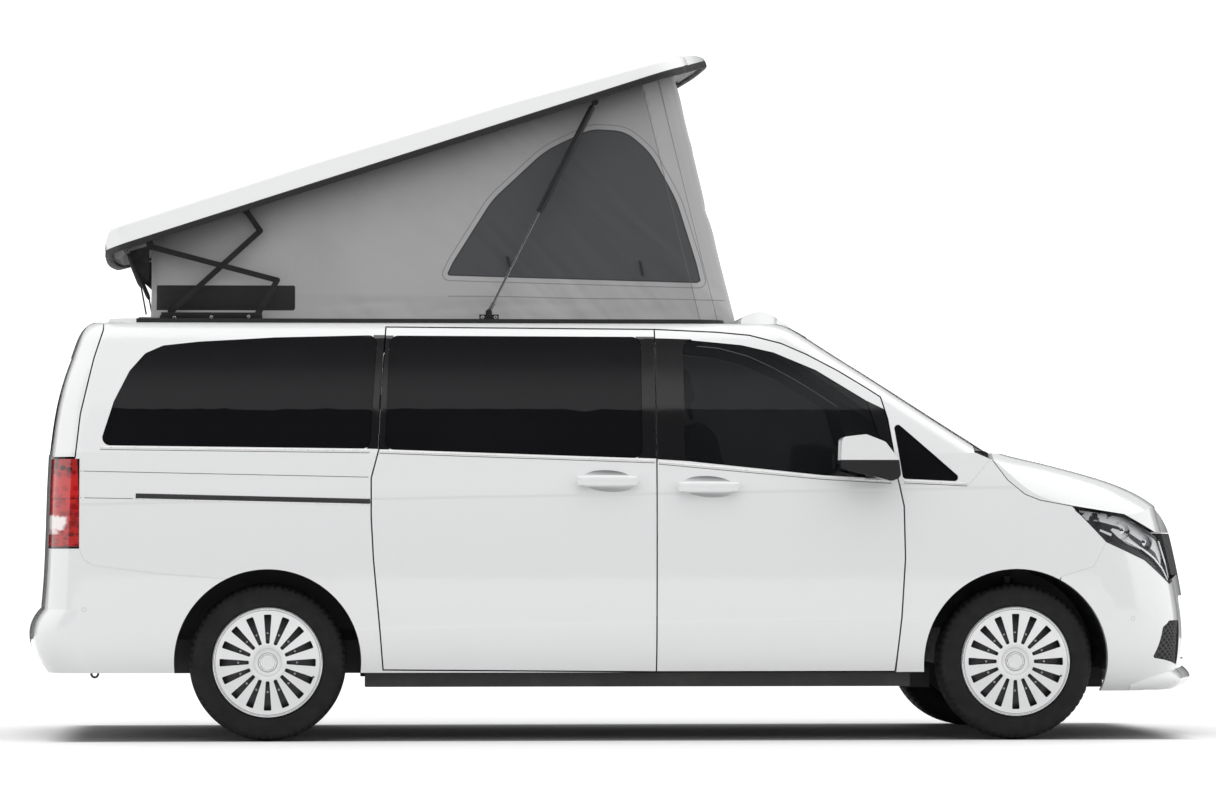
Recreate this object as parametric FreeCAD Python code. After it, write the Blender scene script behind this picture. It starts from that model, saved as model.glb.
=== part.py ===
import FreeCAD, Part
import math
import os

# Camper van with its sleeping roof raised.  Millimetres; +X front, +Y left, +Z up,
# origin on the ground under the middle of the van.
V = FreeCAD.Vector
os.makedirs("parts", exist_ok=True)

# ---------------------------------------------------------------- main sizes
WHEELBASE = 3200.0
REAR_AXLE_X = -1525.0
FRONT_AXLE_X = REAR_AXLE_X + WHEELBASE
TYRE_R = 334.0
TYRE_W = 225.0
HUB_Z = TYRE_R
WHEEL_FACE_Y = 930.0
ARCH_R = 397.0
WALL = 55.0            # doors and walls, outside skin to inside trim
ROOF_T = 45.0
GAP = 6.0              # shut line between two panels
SEAM = 0.6             # line between two fixed panels
SEAT = 0.3             # a piece that rests on another stands this far from it
GLASS_IN = 4.0         # glass lies this far under the skin
GLASS_T = 6.0
SILL_Z = 290.0
FLOOR_Z = 470.0
FLOOR_T = 60.0
BELT_Z = 1227.0
ROOF_Z = 1787.0
BAY_WALL = 42.0


# ---------------------------------------------------------------- small tools
def box(x0, x1, y0, y1, z0, z1):
    return Part.makeBox(x1 - x0, y1 - y0, z1 - z0, V(x0, y0, z0))


def cyl(x, y, z, axis, r, length):
    return Part.makeCylinder(r, length, V(x, y, z), V(*axis))


def area2(pts):
    return sum(a[0] * b[1] - b[0] * a[1] for a, b in zip(pts, pts[1:] + pts[:1]))


def grow(pts, d):
    """Polygon moved outwards by d (inwards when d is negative)."""
    s = 1.0 if area2(pts) > 0 else -1.0
    n = len(pts)
    lines = []
    for i in range(n):
        (ax, az), (bx, bz) = pts[i], pts[(i + 1) % n]
        L = math.hypot(bx - ax, bz - az)
        ux, uz = (bx - ax) / L, (bz - az) / L
        lines.append((ax + s * uz * d, az - s * ux * d, ux, uz))
    out = []
    for i in range(n):
        px, pz, ux, uz = lines[i - 1]
        qx, qz, vx, vz = lines[i]
        den = ux * vz - uz * vx
        if abs(den) < 1e-3:
            out.append((qx, qz))
            continue
        t = ((qx - px) * vz - (qz - pz) * vx) / den
        out.append((px + t * ux, pz + t * uz))
    return out


def wire(pts, put, r=0.0):
    """Closed wire through 2-D points; corners rounded by r where they have room."""
    n = len(pts)
    if r <= 0:
        return Part.makePolygon([put(*p) for p in pts] + [put(*pts[0])])
    cuts = []
    for i in range(n):
        p0, p1, p2 = pts[i - 1], pts[i], pts[(i + 1) % n]
        a = (p0[0] - p1[0], p0[1] - p1[1])
        b = (p2[0] - p1[0], p2[1] - p1[1])
        la, lb = math.hypot(*a), math.hypot(*b)
        ua, ub = (a[0] / la, a[1] / la), (b[0] / lb, b[1] / lb)
        ang = math.acos(max(-1.0, min(1.0, ua[0] * ub[0] + ua[1] * ub[1])))
        if ang > math.radians(176):
            cuts.append((p1, p1, p1))
            continue
        t = min(r / math.tan(ang / 2), 0.45 * la, 0.45 * lb)
        rr = t * math.tan(ang / 2)
        h = rr / math.sin(ang / 2)
        m = (ua[0] + ub[0], ua[1] + ub[1])
        lm = math.hypot(*m)
        c = (p1[0] + m[0] / lm * h, p1[1] + m[1] / lm * h)
        mid = (c[0] - m[0] / lm * rr, c[1] - m[1] / lm * rr)
        cuts.append(((p1[0] + ua[0] * t, p1[1] + ua[1] * t), mid,
                     (p1[0] + ub[0] * t, p1[1] + ub[1] * t)))
    edges = []
    for i in range(n):
        s, m, e = cuts[i]
        if s != e:
            edges.append(Part.Arc(put(*s), put(*m), put(*e)).toShape())
        nxt = cuts[(i + 1) % n][0]
        if math.hypot(nxt[0] - e[0], nxt[1] - e[1]) > 1e-6:
            edges.append(Part.makeLine(put(*e), put(*nxt)))
    return Part.Wire(edges)


def prism_y(pts, y0, y1, r=0.0):
    w = wire(pts, lambda a, b: V(a, y0, b), r)
    return Part.Face(w).extrude(V(0, y1 - y0, 0))


def prism_x(pts, x0, x1, r=0.0):
    w = wire(pts, lambda a, b: V(x0, a, b), r)
    return Part.Face(w).extrude(V(x1 - x0, 0, 0))


def prism_z(pts, z0, z1, r=0.0):
    w = wire(pts, lambda a, b: V(a, b, z0), r)
    return Part.Face(w).extrude(V(0, 0, z1 - z0))


def mirrored(shape):
    return shape.mirror(V(0, 0, 0), V(0, 1, 0))


def fused(shapes):
    shapes = list(shapes)
    if len(shapes) == 1:
        return shapes[0]
    return shapes[0].multiFuse(shapes[1:])


def cut(shape, tools):
    return shape.cut(list(tools))


def pair(shape):
    """The right-hand piece and its mirror image, as solids that do not touch."""
    return Part.makeCompound(solids(shape) + solids(mirrored(shape)))


def solids(shape, least=2000.0):
    """Solids of a shape, without slivers under the least volume."""
    return [s for s in shape.Solids if s.Volume > least]


def save(name, shape, least=2000.0):
    keep = solids(shape, least)
    if not keep:
        raise ValueError("nothing left in " + name)
    for s in keep:
        if not s.isValid():
            print("not valid:", name)
    out = keep[0] if len(keep) == 1 else Part.makeCompound(keep)
    out.exportStep("parts/" + name + ".step")
    print(name, len(keep), round(sum(s.Volume for s in keep) / 1e6, 2), flush=True)


# ---------------------------------------------------------------- body levels
# One row a level: z, rear x, front x, half width, rear corner, front corner,
# how far the rear and the front bow out in the middle.
LOW = (
    (206, -2430, 2512, 850, 150, 330, 30, 110),
    (300, -2514, 2530, 918, 170, 340, 45, 110),
    (400, -2566, 2540, 944, 180, 350, 50, 110),
    (560, -2521, 2534, 957, 170, 360, 45, 110),
)
MID = (
    (560, -2521, 2534, 957, 170, 360, 45, 110),
    (800, -2505, 2492, 964, 165, 370, 45, 115),
    (1030, -2498, 2440, 961, 160, 380, 45, 120),
    (1227, -2489, 2400, 945, 150, 380, 45, 120),
)
TOP = (
    (1227, -2489, 1664, 945, 150, 110, 45, 110),
    (1232, -2488.4, 1656.2, 943.9, 150, 110, 45, 110),     # holds the skin straight above the belt
    (1400, -2466, 1392, 906, 140, 110, 45, 105),
    (1600, -2413, 1078, 852, 130, 110, 42, 95),
    (1710, -2374, 905, 812, 120, 110, 40, 90),
    (1762, -2348, 822, 778, 110, 110, 38, 85),
    (1787, -2315, 770, 730, 100, 110, 36, 80),
)
# Bonnet, one row a station: x, height in the middle, height at the edge,
# the edge's distance from the middle, half width of the crown.
CROWN = (
    (1464, 1282, 1236, 965, 780),
    (1664, 1229, 1110, 962, 730),
    (1864, 1187, 1018, 958, 690),
    (2060, 1130, 984, 940, 650),
    (2200, 1082, 930, 900, 610),
    (2330, 1010, 852, 850, 560),
    (2430, 905, 760, 800, 510),
    (2510, 720, 590, 770, 470),
    (2600, 380, 300, 760, 440),
)


def outline(row, inset):
    z, xr, xf, w, rr, fr, rb, fb = row
    xr, xf, w = xr + inset, xf - inset, w - inset
    rr, fr = max(rr - inset, 20.0), max(fr - inset, 20.0)
    k = 1 - math.sqrt(0.5)
    a, b = xr + rb, xf - fb
    p = lambda x, y: V(x, y, z)
    return Part.Wire([
        Part.Arc(p(a, w - rr), p(xr, 0), p(a, -(w - rr))).toShape(),
        Part.Arc(p(a, -(w - rr)), p(a + rr * k, -(w - rr * k)), p(a + rr, -w)).toShape(),
        Part.makeLine(p(a + rr, -w), p(b - fr, -w)),
        Part.Arc(p(b - fr, -w), p(b - fr * k, -(w - fr * k)), p(b, -(w - fr))).toShape(),
        Part.Arc(p(b, -(w - fr)), p(xf, 0), p(b, w - fr)).toShape(),
        Part.Arc(p(b, w - fr), p(b - fr * k, w - fr * k), p(b - fr, w)).toShape(),
        Part.makeLine(p(b - fr, w), p(a + rr, w)),
        Part.Arc(p(a + rr, w), p(a + rr * k, w - rr * k), p(a, w - rr)).toShape(),
    ])


def stack(rows, inset=0.0, z0=None, z1=None):
    """Solid through the level outlines, moved in by inset and cut to z0..z1."""
    s = Part.makeLoft([outline(r, inset) for r in rows], True, False)
    lo = rows[0][0] if z0 is None else z0
    hi = rows[-1][0] if z1 is None else z1
    if z0 is not None or z1 is not None:
        s = s.common(box(-3000, 3000, -1500, 1500, lo, hi))
    return s


def crown_wire(row, drop):
    x, zc, ze, ye, yf = row
    zc, ze = zc - drop, ze - drop
    p = lambda y, z: V(x, y, z)
    zf = zc - 16
    my, mz = (ye + yf) / 2, (ze + zf) / 2
    L = math.hypot(ye - yf, zf - ze)
    bulge = 0.16 * L
    sy, sz = my + bulge * (zf - ze) / L, mz + bulge * (ye - yf) / L
    out = 1150.0
    return Part.Wire([
        Part.makeLine(p(-out, 60), p(out, 60)),
        Part.makeLine(p(out, 60), p(out, ze - 150)),
        Part.makeLine(p(out, ze - 150), p(ye, ze)),
        Part.Arc(p(ye, ze), p(sy, sz), p(yf, zf)).toShape(),
        Part.Arc(p(yf, zf), p(0, zc), p(-yf, zf)).toShape(),
        Part.Arc(p(-yf, zf), p(-sy, sz), p(-ye, ze)).toShape(),
        Part.makeLine(p(-ye, ze), p(-out, ze - 150)),
        Part.makeLine(p(-out, ze - 150), p(-out, 60)),
    ])


def crown(drop=0.0):
    return Part.makeLoft([crown_wire(r, drop) for r in CROWN], True, False)


# ---------------------------------------------------------------- side outlines (x, z)
FRONT_DOOR = [(131, 1760), (400, 1748), (540, 1735), (675, 1700), (781, 1653), (915, 1582),
              (1040, 1505), (1097, 1468), (1126, 1370), (1165, 1116), (1190, 999), (1195, 774),
              (1180, 520), (1155, 292), (131, 292)]
SLIDE_DOOR = [(-1022, 1768), (131, 1760), (131, 292), (-1035, 302), (-1050, 480), (-1077, 771),
              (-1087, 955), (-1087, 1118), (-1055, 1238), (-1049, 1444)]
DOOR_GLASS = [(252, 1716), (504, 1692), (643, 1660), (822, 1584), (911, 1529), (1038, 1451),
              (1090, 1290), (1138, 1114), (842, 1131), (252, 1192)]
SLIDE_GLASS = [(-1006, 1730), (70, 1727), (70, 1203), (-1030, 1240)]
REAR_GLASS = [(-2239, 1256), (-2180, 1444), (-2115, 1575), (-2049, 1651), (-1973, 1685),
              (-1821, 1702), (-1495, 1721), (-1060, 1732), (-1092, 1243)]
QUARTER_GLASS = [(1146, 1374), (1452, 1104), (1186, 1116)]
FENDER = [(1126, 1092), (1468, 1090), (1566, 1203), (1637, 1109), (1711, 1049), (1775, 1024),
          (1914, 998), (2062, 845), (2006, 741), (1868, 699), (1675, 420), (1155, 230),
          (1180, 520), (1195, 774), (1190, 999)]
BONNET_SIDE = [(1566, 1203), (1637, 1109), (1711, 1049), (1775, 1024), (1914, 998), (2145, 963),
               (2300, 885), (2520, 880), (2520, 1400), (1500, 1400), (1500, 1232)]
LAMP = [(1918, 994), (2145, 961), (2310, 866), (2445, 862), (2445, 700), (2366, 663),
        (2238, 767), (2062, 845)]
BUMPER_FRONT = [(1868, 699), (2006, 741), (2062, 845), (2238, 767), (2366, 663), (2445, 700),
                (2700, 700), (2700, 150), (1900, 150), (1790, 420)]
BUMPER_REAR = [(-2700, 818.4), (-2321, 818.4), (-2306, 776), (-2267, 748),
               (-1990, 712), (-1700, 690), (-1700, 150), (-2700, 150)]
GATE_SIDE = [(-2229, 1830), (-2229, 1751), (-2267, 1629), (-2321, 1390), (-2341, 1205),
             (-2700, 1205), (-2700, 1830)]
GATE_W = 800.0
GATE_LOW_Z = 566.0
LAMP_REAR = [(-2322, 1199), (-2322, 819), (-2700, 819), (-2700, 1199)]
WINDSCREEN = [(-800, 1243), (800, 1243), (655, 1742), (-655, 1742)]
GATE_GLASS = [(-735, 1222), (735, 1222), (705, 1420), (630, 1650), (-630, 1650), (-705, 1420)]
ARCHES = (REAR_AXLE_X, FRONT_AXLE_X)


def wheel_cut(y_in=600.0):
    """Both wheel arches of the right-hand side."""
    return [cyl(x, -y_in, HUB_Z, (0, -1, 0), ARCH_R, 500) for x in ARCHES]


def right(pts, d=0.0, r=0.0, y_in=-300.0):
    return prism_y(grow(pts, d) if d else pts, -1200.0, y_in, r)


print("body", flush=True)
low_out = stack(LOW)
mid_out = stack(MID)
top_out = stack(TOP)
crown_out = crown()
FOOT = tuple((z, a + 2, b - 2, w - 2, rr, fr, rb, fb) for z, a, b, w, rr, fr, rb, fb in
             ((1150,) + TOP[0][1:], TOP[0]))
foot = stack(FOOT).common(box(1300, 1800, -1200, 1200, 1150, 1227))
base = fused([low_out, mid_out])
rear_part = base.common(box(-2700, 1464, -1200, 1200, 0, 1300))
front_part = base.common(crown_out)
outer = fused([rear_part, front_part, foot, top_out])
outer = cut(outer, [box(-2700, 1930, -1300, 1300, 0, SILL_Z)])

cabin = fused([stack(LOW, WALL), stack(MID, WALL), stack(TOP, WALL, None, ROOF_Z - ROOF_T)])
cabin = cabin.common(box(-2700, 1455, -1300, 1300, 0, 1227)).fuse(
    cabin.common(box(-2700, 1800, -1300, 1300, 1226, 1800)))
bay = stack(LOW, BAY_WALL).fuse(stack(MID, BAY_WALL)).common(crown(BAY_WALL))
bay = bay.common(box(1490, 2700, -1300, 1300, 0, 1300)).cut(
    box(1490, 1720, -1300, 1300, 1130, 1300))
bay = bay.fuse(box(1490, 2300, -800, 800, 100, 300))
shell = cut(outer, [cabin, bay])
print("shell", round(shell.Volume / 1e9, 4), flush=True)

# glass lies in a thin layer under the skin
glass_zone = box(-2700, 1480, -1200, 1200, 1050, 1227)
glass_out = stack(MID, GLASS_IN).common(glass_zone).fuse(stack(TOP, GLASS_IN))
glass_in = stack(MID, GLASS_IN + GLASS_T).common(glass_zone.copy()).fuse(
    stack(TOP, GLASS_IN + GLASS_T, None, 1780))
glass = glass_out.cut(glass_in)

right_side = box(-2700, 2700, -1200, -640, 0, 1900)
shell_right = shell.common(right_side)
glass_right = glass.common(right_side)
arches = wheel_cut()


def panel(pts, gap, tools=(), r=0.0):
    p = shell_right.common(right(pts, -gap / 2, r)).cut(box(-2700, 1700, -706, 0, 1690, 1900))
    return cut(p, list(tools)) if tools else p


def side_window(pts, r):
    return right(pts, 0.0, r), glass_right.common(right(pts, -1.0, r))


print("doors", flush=True)
door_hole, door_glass = side_window(DOOR_GLASS, 34)
slide_hole, slide_glass = side_window(SLIDE_GLASS, 38)
rear_hole, rear_glass = side_window(REAR_GLASS, 34)
quarter_hole, quarter_glass = side_window(QUARTER_GLASS, 16)


def handle(x0, x1, z0, z1):
    """Pull handle: a bar that stands off the skin on two feet."""
    y = -966.0
    zc = (z0 + z1) / 2
    bar = prism_x([(y - 34, zc - 19), (y - 34, zc + 19), (y - 18, zc + 22), (y - 18, zc - 22)],
                  x0, x1, 7)
    feet = [box(a, a + 46, y - 22, y + 30, zc - 16, zc + 16) for a in (x0 + 4, x1 - 50)]
    return fused([bar] + feet)


door = panel(FRONT_DOOR, GAP, [door_hole])
door = door.fuse(handle(221, 476, 1040, 1120))
# A shallow flat along the belt inside, where the waist rail of the door lies.
slide = panel(SLIDE_DOOR, GAP, [slide_hole, box(-1100, 140, -896, -600, 1196, 1250)])
slide = slide.fuse(handle(-210, 43, 1066, 1146))

fender = panel(FENDER, SEAM, arches + [right(FRONT_DOOR, GAP / 2 + 0.5)])
fender = cut(fender, [box(1000, 2200, -660, 0, 0, 1300), box(1440, 1490 + SEAT, -880 - SEAT, 0, 0, 1300)])
side_tools = [right(p, GAP / 2) for p in (FRONT_DOOR, SLIDE_DOOR, GATE_SIDE)]
side_tools += [right(p, SEAM / 2) for p in (FENDER, BUMPER_REAR, LAMP_REAR)]
side_tools += [rear_hole, quarter_hole, right(BONNET_SIDE, GAP / 2),
               box(-2700, -2341, -1200, 0, 0, 1205), box(1560, 2700, -1300, 0, 0, 1140),
               box(-2700, 1700, -700 - SEAT, 0, 1690, 1900), prism_x(WINDSCREEN, 700, 1900, 60),
               box(-2700, 2700, -720, 0, 0, 400)]
side = cut(shell_right, side_tools + arches)
side = side.cut(box(1155, 2700, -1200, 0, 0, 1088))
side = cut(side, [box(1440, 1800, -880 - SEAT, 0, 1000, BELT_Z), box(1440, 1800, -700 - SEAT, 0, 1000, 1260)])
POST_FOOT, POST_TOP = FLOOR_Z + FLOOR_T + 0.3, ROOF_Z - ROOF_T - 0.3
POST = [(-886, POST_FOOT), (-886, 1030), (-860, 1227), (-826, 1400), (-804, 1500), (-778, 1600),
        (-744, 1710), (-700, POST_TOP), (-655, POST_TOP), (-704, 1710), (-744, 1600),
        (-772, 1500), (-798, 1400), (-838, 1227), (-853, 1030), (-850, POST_FOOT)]
# The striker on the post, against which both doors close, lies SEAT behind them.
STRIKER = (84, 206, 870, 990)
striker = box(STRIKER[0], STRIKER[1], -960, -880, STRIKER[2], STRIKER[3])
striker = striker.common(stack(MID, WALL + SEAT))
post = prism_x(POST, 95, 167).fuse(striker)
side = Part.makeCompound(solids(side) + [post])

lamp_rear = shell_right.common(right(LAMP_REAR, -SEAM / 2)).common(
    box(-2700, -2300, -1200, -GATE_W - GAP / 2, 0, 1300))
lamp_front = shell_right.common(right(LAMP, -SEAM / 2, 10)).cut(
    box(1900, 2700, -660, 0, 0, 1300))

print("ends", flush=True)
gate_low = box(-2700, -2380, -GATE_W + GAP / 2, GATE_W - GAP / 2, GATE_LOW_Z, 1205)
gate_up = prism_y(grow(GATE_SIDE, -GAP / 2), -1200, 1200)
gate_low = gate_low.fuse(box(-2700, -2380, -GATE_W + GAP / 2, GATE_W - GAP / 2, 1190, 1215))
gate = shell.common(gate_low.fuse(gate_up))
gate_hole = prism_x(GATE_GLASS, -2700, -2300, 45)
gate_glass = glass.common(prism_x(grow(GATE_GLASS, -1.0), -2700, -2300, 44))
gate = gate.cut(gate_hole)
bumper_rear = shell.common(prism_y(grow(BUMPER_REAR, -SEAM / 2), -1200, 1200))
bumper_rear = cut(bumper_rear, arches + [mirrored(a) for a in arches])
bumper_rear = cut(bumper_rear, [box(-2700, -2330, -GATE_W - GAP / 2, GATE_W + GAP / 2, 560, 900),
                                box(-2380, -1600, -700, 700, 200, 700)])

bonnet = shell.common(prism_y(grow(BONNET_SIDE, -GAP / 2), -1200, 1200))
cowl_edge = [(1600, -1100), (1566, -860), (1640, -600), (1700, -300), (1722, 0), (1700, 300),
             (1640, 600), (1566, 860), (1600, 1100), (1400, 1100), (1400, -1100)]
bonnet = bonnet.cut(prism_z(cowl_edge, 1000, 1500))
bonnet = bonnet.cut(fused([top_out, foot]))

bumper = shell.common(prism_y(grow(BUMPER_FRONT, -SEAM / 2), -1200, 1200))
bumper = cut(bumper, arches + [mirrored(a) for a in arches])
bumper = cut(bumper, [box(1700, 2380, -640, 640, 100, 900)])
NOSE_IN = [(-470, 332), (470, 332), (520, 610), (-520, 610)]
CORNER_IN = [(-876, 348), (-650, 306), (-650, 507), (-808, 507), (-850, 480)]
nose_hole = prism_x(NOSE_IN, 2300, 2700, 30)
corner_hole = prism_x(CORNER_IN, 2150, 2700, 12)
corner_both = [corner_hole, mirrored(corner_hole)]
bumper = cut(bumper, [nose_hole] + corner_both)
LIP = ((208, -2400, 2528, 856, 150, 330, 30, 110), (238, -2400, 2566, 866, 150, 330, 30, 110),
       (296, -2400, 2534, 880, 150, 330, 30, 110))
lip = stack(LIP)
lip = lip.common(box(2180, 2700, -900, 900, 0, 400)).cut(stack(LOW, 60))
bumper = bumper.fuse(lip)

# grille: slats across the openings and the band under the bonnet
band = shell.common(box(2300, 2700, -655, 655, 700, 884)).cut(
    fused([lamp_front, mirrored(lamp_front)]))
band = band.cut(prism_y(grow(BONNET_SIDE, 1.0), -1200, 1200))
SLATS = ((368, 14), (418, 14), (468, 14), (518, 14), (568, 14))
inner_low = stack(LOW, 26).cut(stack(LOW, 50))
slats = [inner_low.common(box(2300, 2700, -530, 530, z, z + t)) for z, t in SLATS]
low_back = stack(LOW, 50).cut(stack(LOW, 62)).common(prism_x(grow(NOSE_IN, -SEAT), 2300, 2700, 30 - SEAT))
low_grille = fused(slats).common(prism_x(grow(NOSE_IN, -SEAT), 2300, 2700, 30 - SEAT)).fuse(low_back)
corner_fill = stack(LOW, 26).cut(stack(LOW, 40)).common(prism_x(grow(CORNER_IN, -SEAT), 2150, 2700,
                                                                12 - SEAT))
grille = Part.makeCompound(solids(band) + solids(low_grille) + solids(corner_fill)
                           + solids(mirrored(corner_fill)))

print("roof and floor", flush=True)
HATCH = (-2010.0, 470.0, 575.0)
roof = shell.common(box(-2700, 1700, -700, 700, 1691, 1900))
roof = cut(roof, [prism_y(grow(GATE_SIDE, GAP / 2), -1200, 1200), prism_x(WINDSCREEN, 700, 1900,
                  60), prism_z([(HATCH[0], -HATCH[2]), (HATCH[1], -HATCH[2]), (HATCH[1],
                  HATCH[2]), (HATCH[0], HATCH[2])], 1600, 1900, 60)])
windscreen = stack(TOP, GLASS_IN).cut(stack(TOP, GLASS_IN + GLASS_T)).common(
    prism_x(grow(WINDSCREEN, -1.0), 700, 1900, 59))

WHEEL_IN = {REAR_AXLE_X: 640.0, FRONT_AXLE_X: 470.0}   # inner wall of each wheel house
FRONT_BAY_X = 1240.0


def house(ax, s, grow_r, y_in):
    return cyl(ax, s * y_in, HUB_Z, (0, s, 0), ARCH_R + grow_r, 902 - y_in)


holes = [house(ax, s, 0, WHEEL_IN[ax]) for ax in ARCHES for s in (-1, 1)]
tubs = [house(ax, s, 13, WHEEL_IN[ax] - 13) for ax in ARCHES for s in (-1, 1)]
tub_clip = box(-2400, 2400, -1000, 1000, FLOOR_Z, 1200)
floor = box(-2372, 1456 - SEAT, -860, 860, FLOOR_Z, FLOOR_Z + FLOOR_T)
rails = [box(-2300, FRONT_BAY_X, s * 520 - 45, s * 520 + 45, 400, FLOOR_Z) for s in (-1, 1)]
sills = [box(-1110, 1225, min(s * 700, s * 866), max(s * 700, s * 866), 228, 288)
         for s in (-1, 1)]
webs = [box(-1110, 1225, min(s * 700, s * 730), max(s * 700, s * 730), 228, FLOOR_Z)
        for s in (-1, 1)]
floor = fused([floor] + rails + sills + webs)
floor = floor.fuse(fused(tubs).common(tub_clip).common(box(-2400, 1455, -1000, 1000, 0, 1200)))
floor = floor.common(fused([stack(LOW, WALL + 2), stack(MID, WALL + 2)])).cut(fused(holes))
floor = floor.fuse(fused(sills).common(box(-1110, 1225, -868, 868, 228, 288)))
front_house = fused(tubs[2:]).common(box(1490, 2074, -1000, 1000, 300, 1200))
front_house = front_house.cut(fused(holes)).common(stack(LOW, BAY_WALL + 3).fuse(
    stack(MID, BAY_WALL + 3)))
bulkhead = box(1456, 1490, -880, 880, 300, 1120).cut(fused(holes))
COWL_GAP = 6.0   # the bonnet's rear edge dips towards the cowl as it opens
cowl = shell.common(box(1456, 1760, -905, 905, 1090, 1240)).cut(
    prism_y(grow(BONNET_SIDE, GAP / 2), -1200, 1200).cut(prism_z(cowl_edge, 1000, 1500)))
cowl = cut(cowl, [right(FENDER, 1.5), mirrored(right(FENDER, 1.5)), prism_z(
    [(x - COWL_GAP, y) for x, y in cowl_edge[:9]] + [(2200, 1100), (2200, -1100)], 1000, 1500)])
cowl = cut(cowl, [box(1400, 1800, -1300, -700, 0, 1300), box(1400, 1800, 700, 1300, 0, 1300),
                  prism_x(WINDSCREEN, 1000, 1900, 60)])
RACK = (1545.0, 311.0, 16.0)
front_house = front_house.cut(cyl(RACK[0], -560, RACK[1], (0, 1, 0), RACK[2] + 8, 1120))
bulkhead = fused([bulkhead, cowl, front_house])


# ---------------------------------------------------------------- the raised roof
# The roof is drawn shut and then turned open about the pole of its movement.
POLE = (-3051.7, 1739.6)
OPEN_DEG = 17.3
SHELL_PLAN = (0, -2174, 622, 720, 120, 210, 20, 125)
SHELL_T = 28.0
RUBBER_H = 13.0
SHELL_SIDE = [(-2176, 1828), (461, 1859), (585, 1879), (621, 1889), (614, 1903), (548, 1916),
              (-300, 1938), (-1200, 1937), (-2092, 1924), (-2114, 1914)]
SHELL_INNER = [(-2142, 1700), (520, 1700), (520, 1876), (440, 1888), (-300, 1909), (-1200, 1908),
               (-2080, 1895), (-2142, 1850)]


def opened(x, z):
    """Where a point of the shut roof stands when the roof is open."""
    a = math.radians(OPEN_DEG)
    dx, dz = x - POLE[0], z - POLE[1]
    return (POLE[0] + dx * math.cos(a) - dz * math.sin(a),
            POLE[1] + dx * math.sin(a) + dz * math.cos(a))


def lift(shape):
    out = shape.copy()
    out.rotate(V(POLE[0], 0, POLE[1]), V(0, 1, 0), -OPEN_DEG)
    return out


def plan_prism(row, inset, z0, z1):
    w = outline((z0,) + row[1:], inset)
    return Part.Face(w).extrude(V(0, 0, z1 - z0))


print("raised roof", flush=True)
skin = prism_y(SHELL_SIDE, -900, 900).common(plan_prism(SHELL_PLAN, 0, 1700, 2100))
top_edges = []
for e in skin.Edges:
    b = e.BoundBox
    if b.ZMin > 1905 and (b.YMax < -500 or b.YMin > 500 or b.XMax < -2000 or b.XMin > 500):
        top_edges.append(e)
try:
    skin = skin.makeFillet(16, top_edges)
except Part.OCCError:
    print("roof edge left sharp")
skin_in = prism_y(SHELL_INNER, -900, 900).common(plan_prism(SHELL_PLAN, SHELL_T, 1600, 2100))
pop_top = skin.cut(skin_in)
REAR_UNDER = 1828 - 14 * 31.0 / 2637
BAND = [(-2190, REAR_UNDER - RUBBER_H), (461, 1859 - RUBBER_H), (585, 1879 - RUBBER_H), (640, 1892 -
        RUBBER_H), (640, 1894.28), (621, 1889), (585, 1879), (461, 1859), (-2190, REAR_UNDER)]
rubber = plan_prism(SHELL_PLAN, -3, 1600, 2100).cut(plan_prism(SHELL_PLAN, 25, 1600, 2100))
rubber = rubber.common(prism_y(BAND, -900, 900))

# fixed black rail on the roof, round the hatch, and the white fairing before it
TENT_Y = 585.0
RAIL_PLAN = (0, -2232, 508, 716, 120, 150, 24, 60)
RAIL_TOP = 1806.0
rail = plan_prism(RAIL_PLAN, 0, ROOF_Z, RAIL_TOP).cut(plan_prism(RAIL_PLAN, 22, ROOF_Z - 5,
                                                               RAIL_TOP + 5))
rail = rail.common(stack(TOP, 0).fuse(box(-2700, 1000, -720, 720, ROOF_Z, 1900)))
rail = rail.cut(box(-1900, 700, -TENT_Y - 2, TENT_Y + 2, 1600, 1900))
FAIR_SIDE = [(516, 1700), (516, 1813), (560, 1836), (600, 1845), (650, 1835), (740, 1797),
             (812, 1752), (850, 1722), (850, 1700)]
FAIR_PLAN = (0, 300, 838, 668, 60, 180, 20, 150)
fairing = prism_y(FAIR_SIDE, -900, 900, 18).common(plan_prism(FAIR_PLAN, 0, 1600, 1900))
fairing = fairing.cut(stack(TOP)).common(box(516, 900, -700, 700, 1700, 1900))
fairing = fairing.cut(rail)

# tent of cloth: four thin walls from the hatch up into the roof shell
TENT_T = 5.0
TENT_REAR, TENT_FRONT = -2036.0, 506.0
TENT_FOOT = ROOF_Z + 0.3
ceil_rear, ceil_mid = opened(-2080, 1888), opened(-300, 1902)
top_x = TENT_FRONT - 0.247 * (2855 - 1812)
TENT_SIDE = [(TENT_REAR, TENT_FOOT), (TENT_FRONT, TENT_FOOT), (TENT_FRONT, 1812), (top_x, 2855),
             ceil_mid, (TENT_REAR, ceil_rear[1] + (TENT_REAR - ceil_rear[0]) * 0.3115)]
tent = prism_y(TENT_SIDE, -800, 800)
tent_in = prism_y([(TENT_REAR + TENT_T, 1700), (TENT_FRONT - TENT_T, 1700),
                   (TENT_FRONT - TENT_T, 1811), (top_x - TENT_T - 0.247 * 100, 2955),
                   (TENT_REAR + TENT_T, 2955)], -TENT_Y + TENT_T, TENT_Y - TENT_T)


def tent_plan(inset, r):
    a, b, y = TENT_REAR + inset, TENT_FRONT - inset, TENT_Y - inset
    return prism_z([(a, -y), (b, -y), (b, y), (a, y)], 1700, 3000, r)


tent = tent.common(tent_plan(0, 60)).cut(tent_in.common(tent_plan(TENT_T, 60 - TENT_T)))

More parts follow.
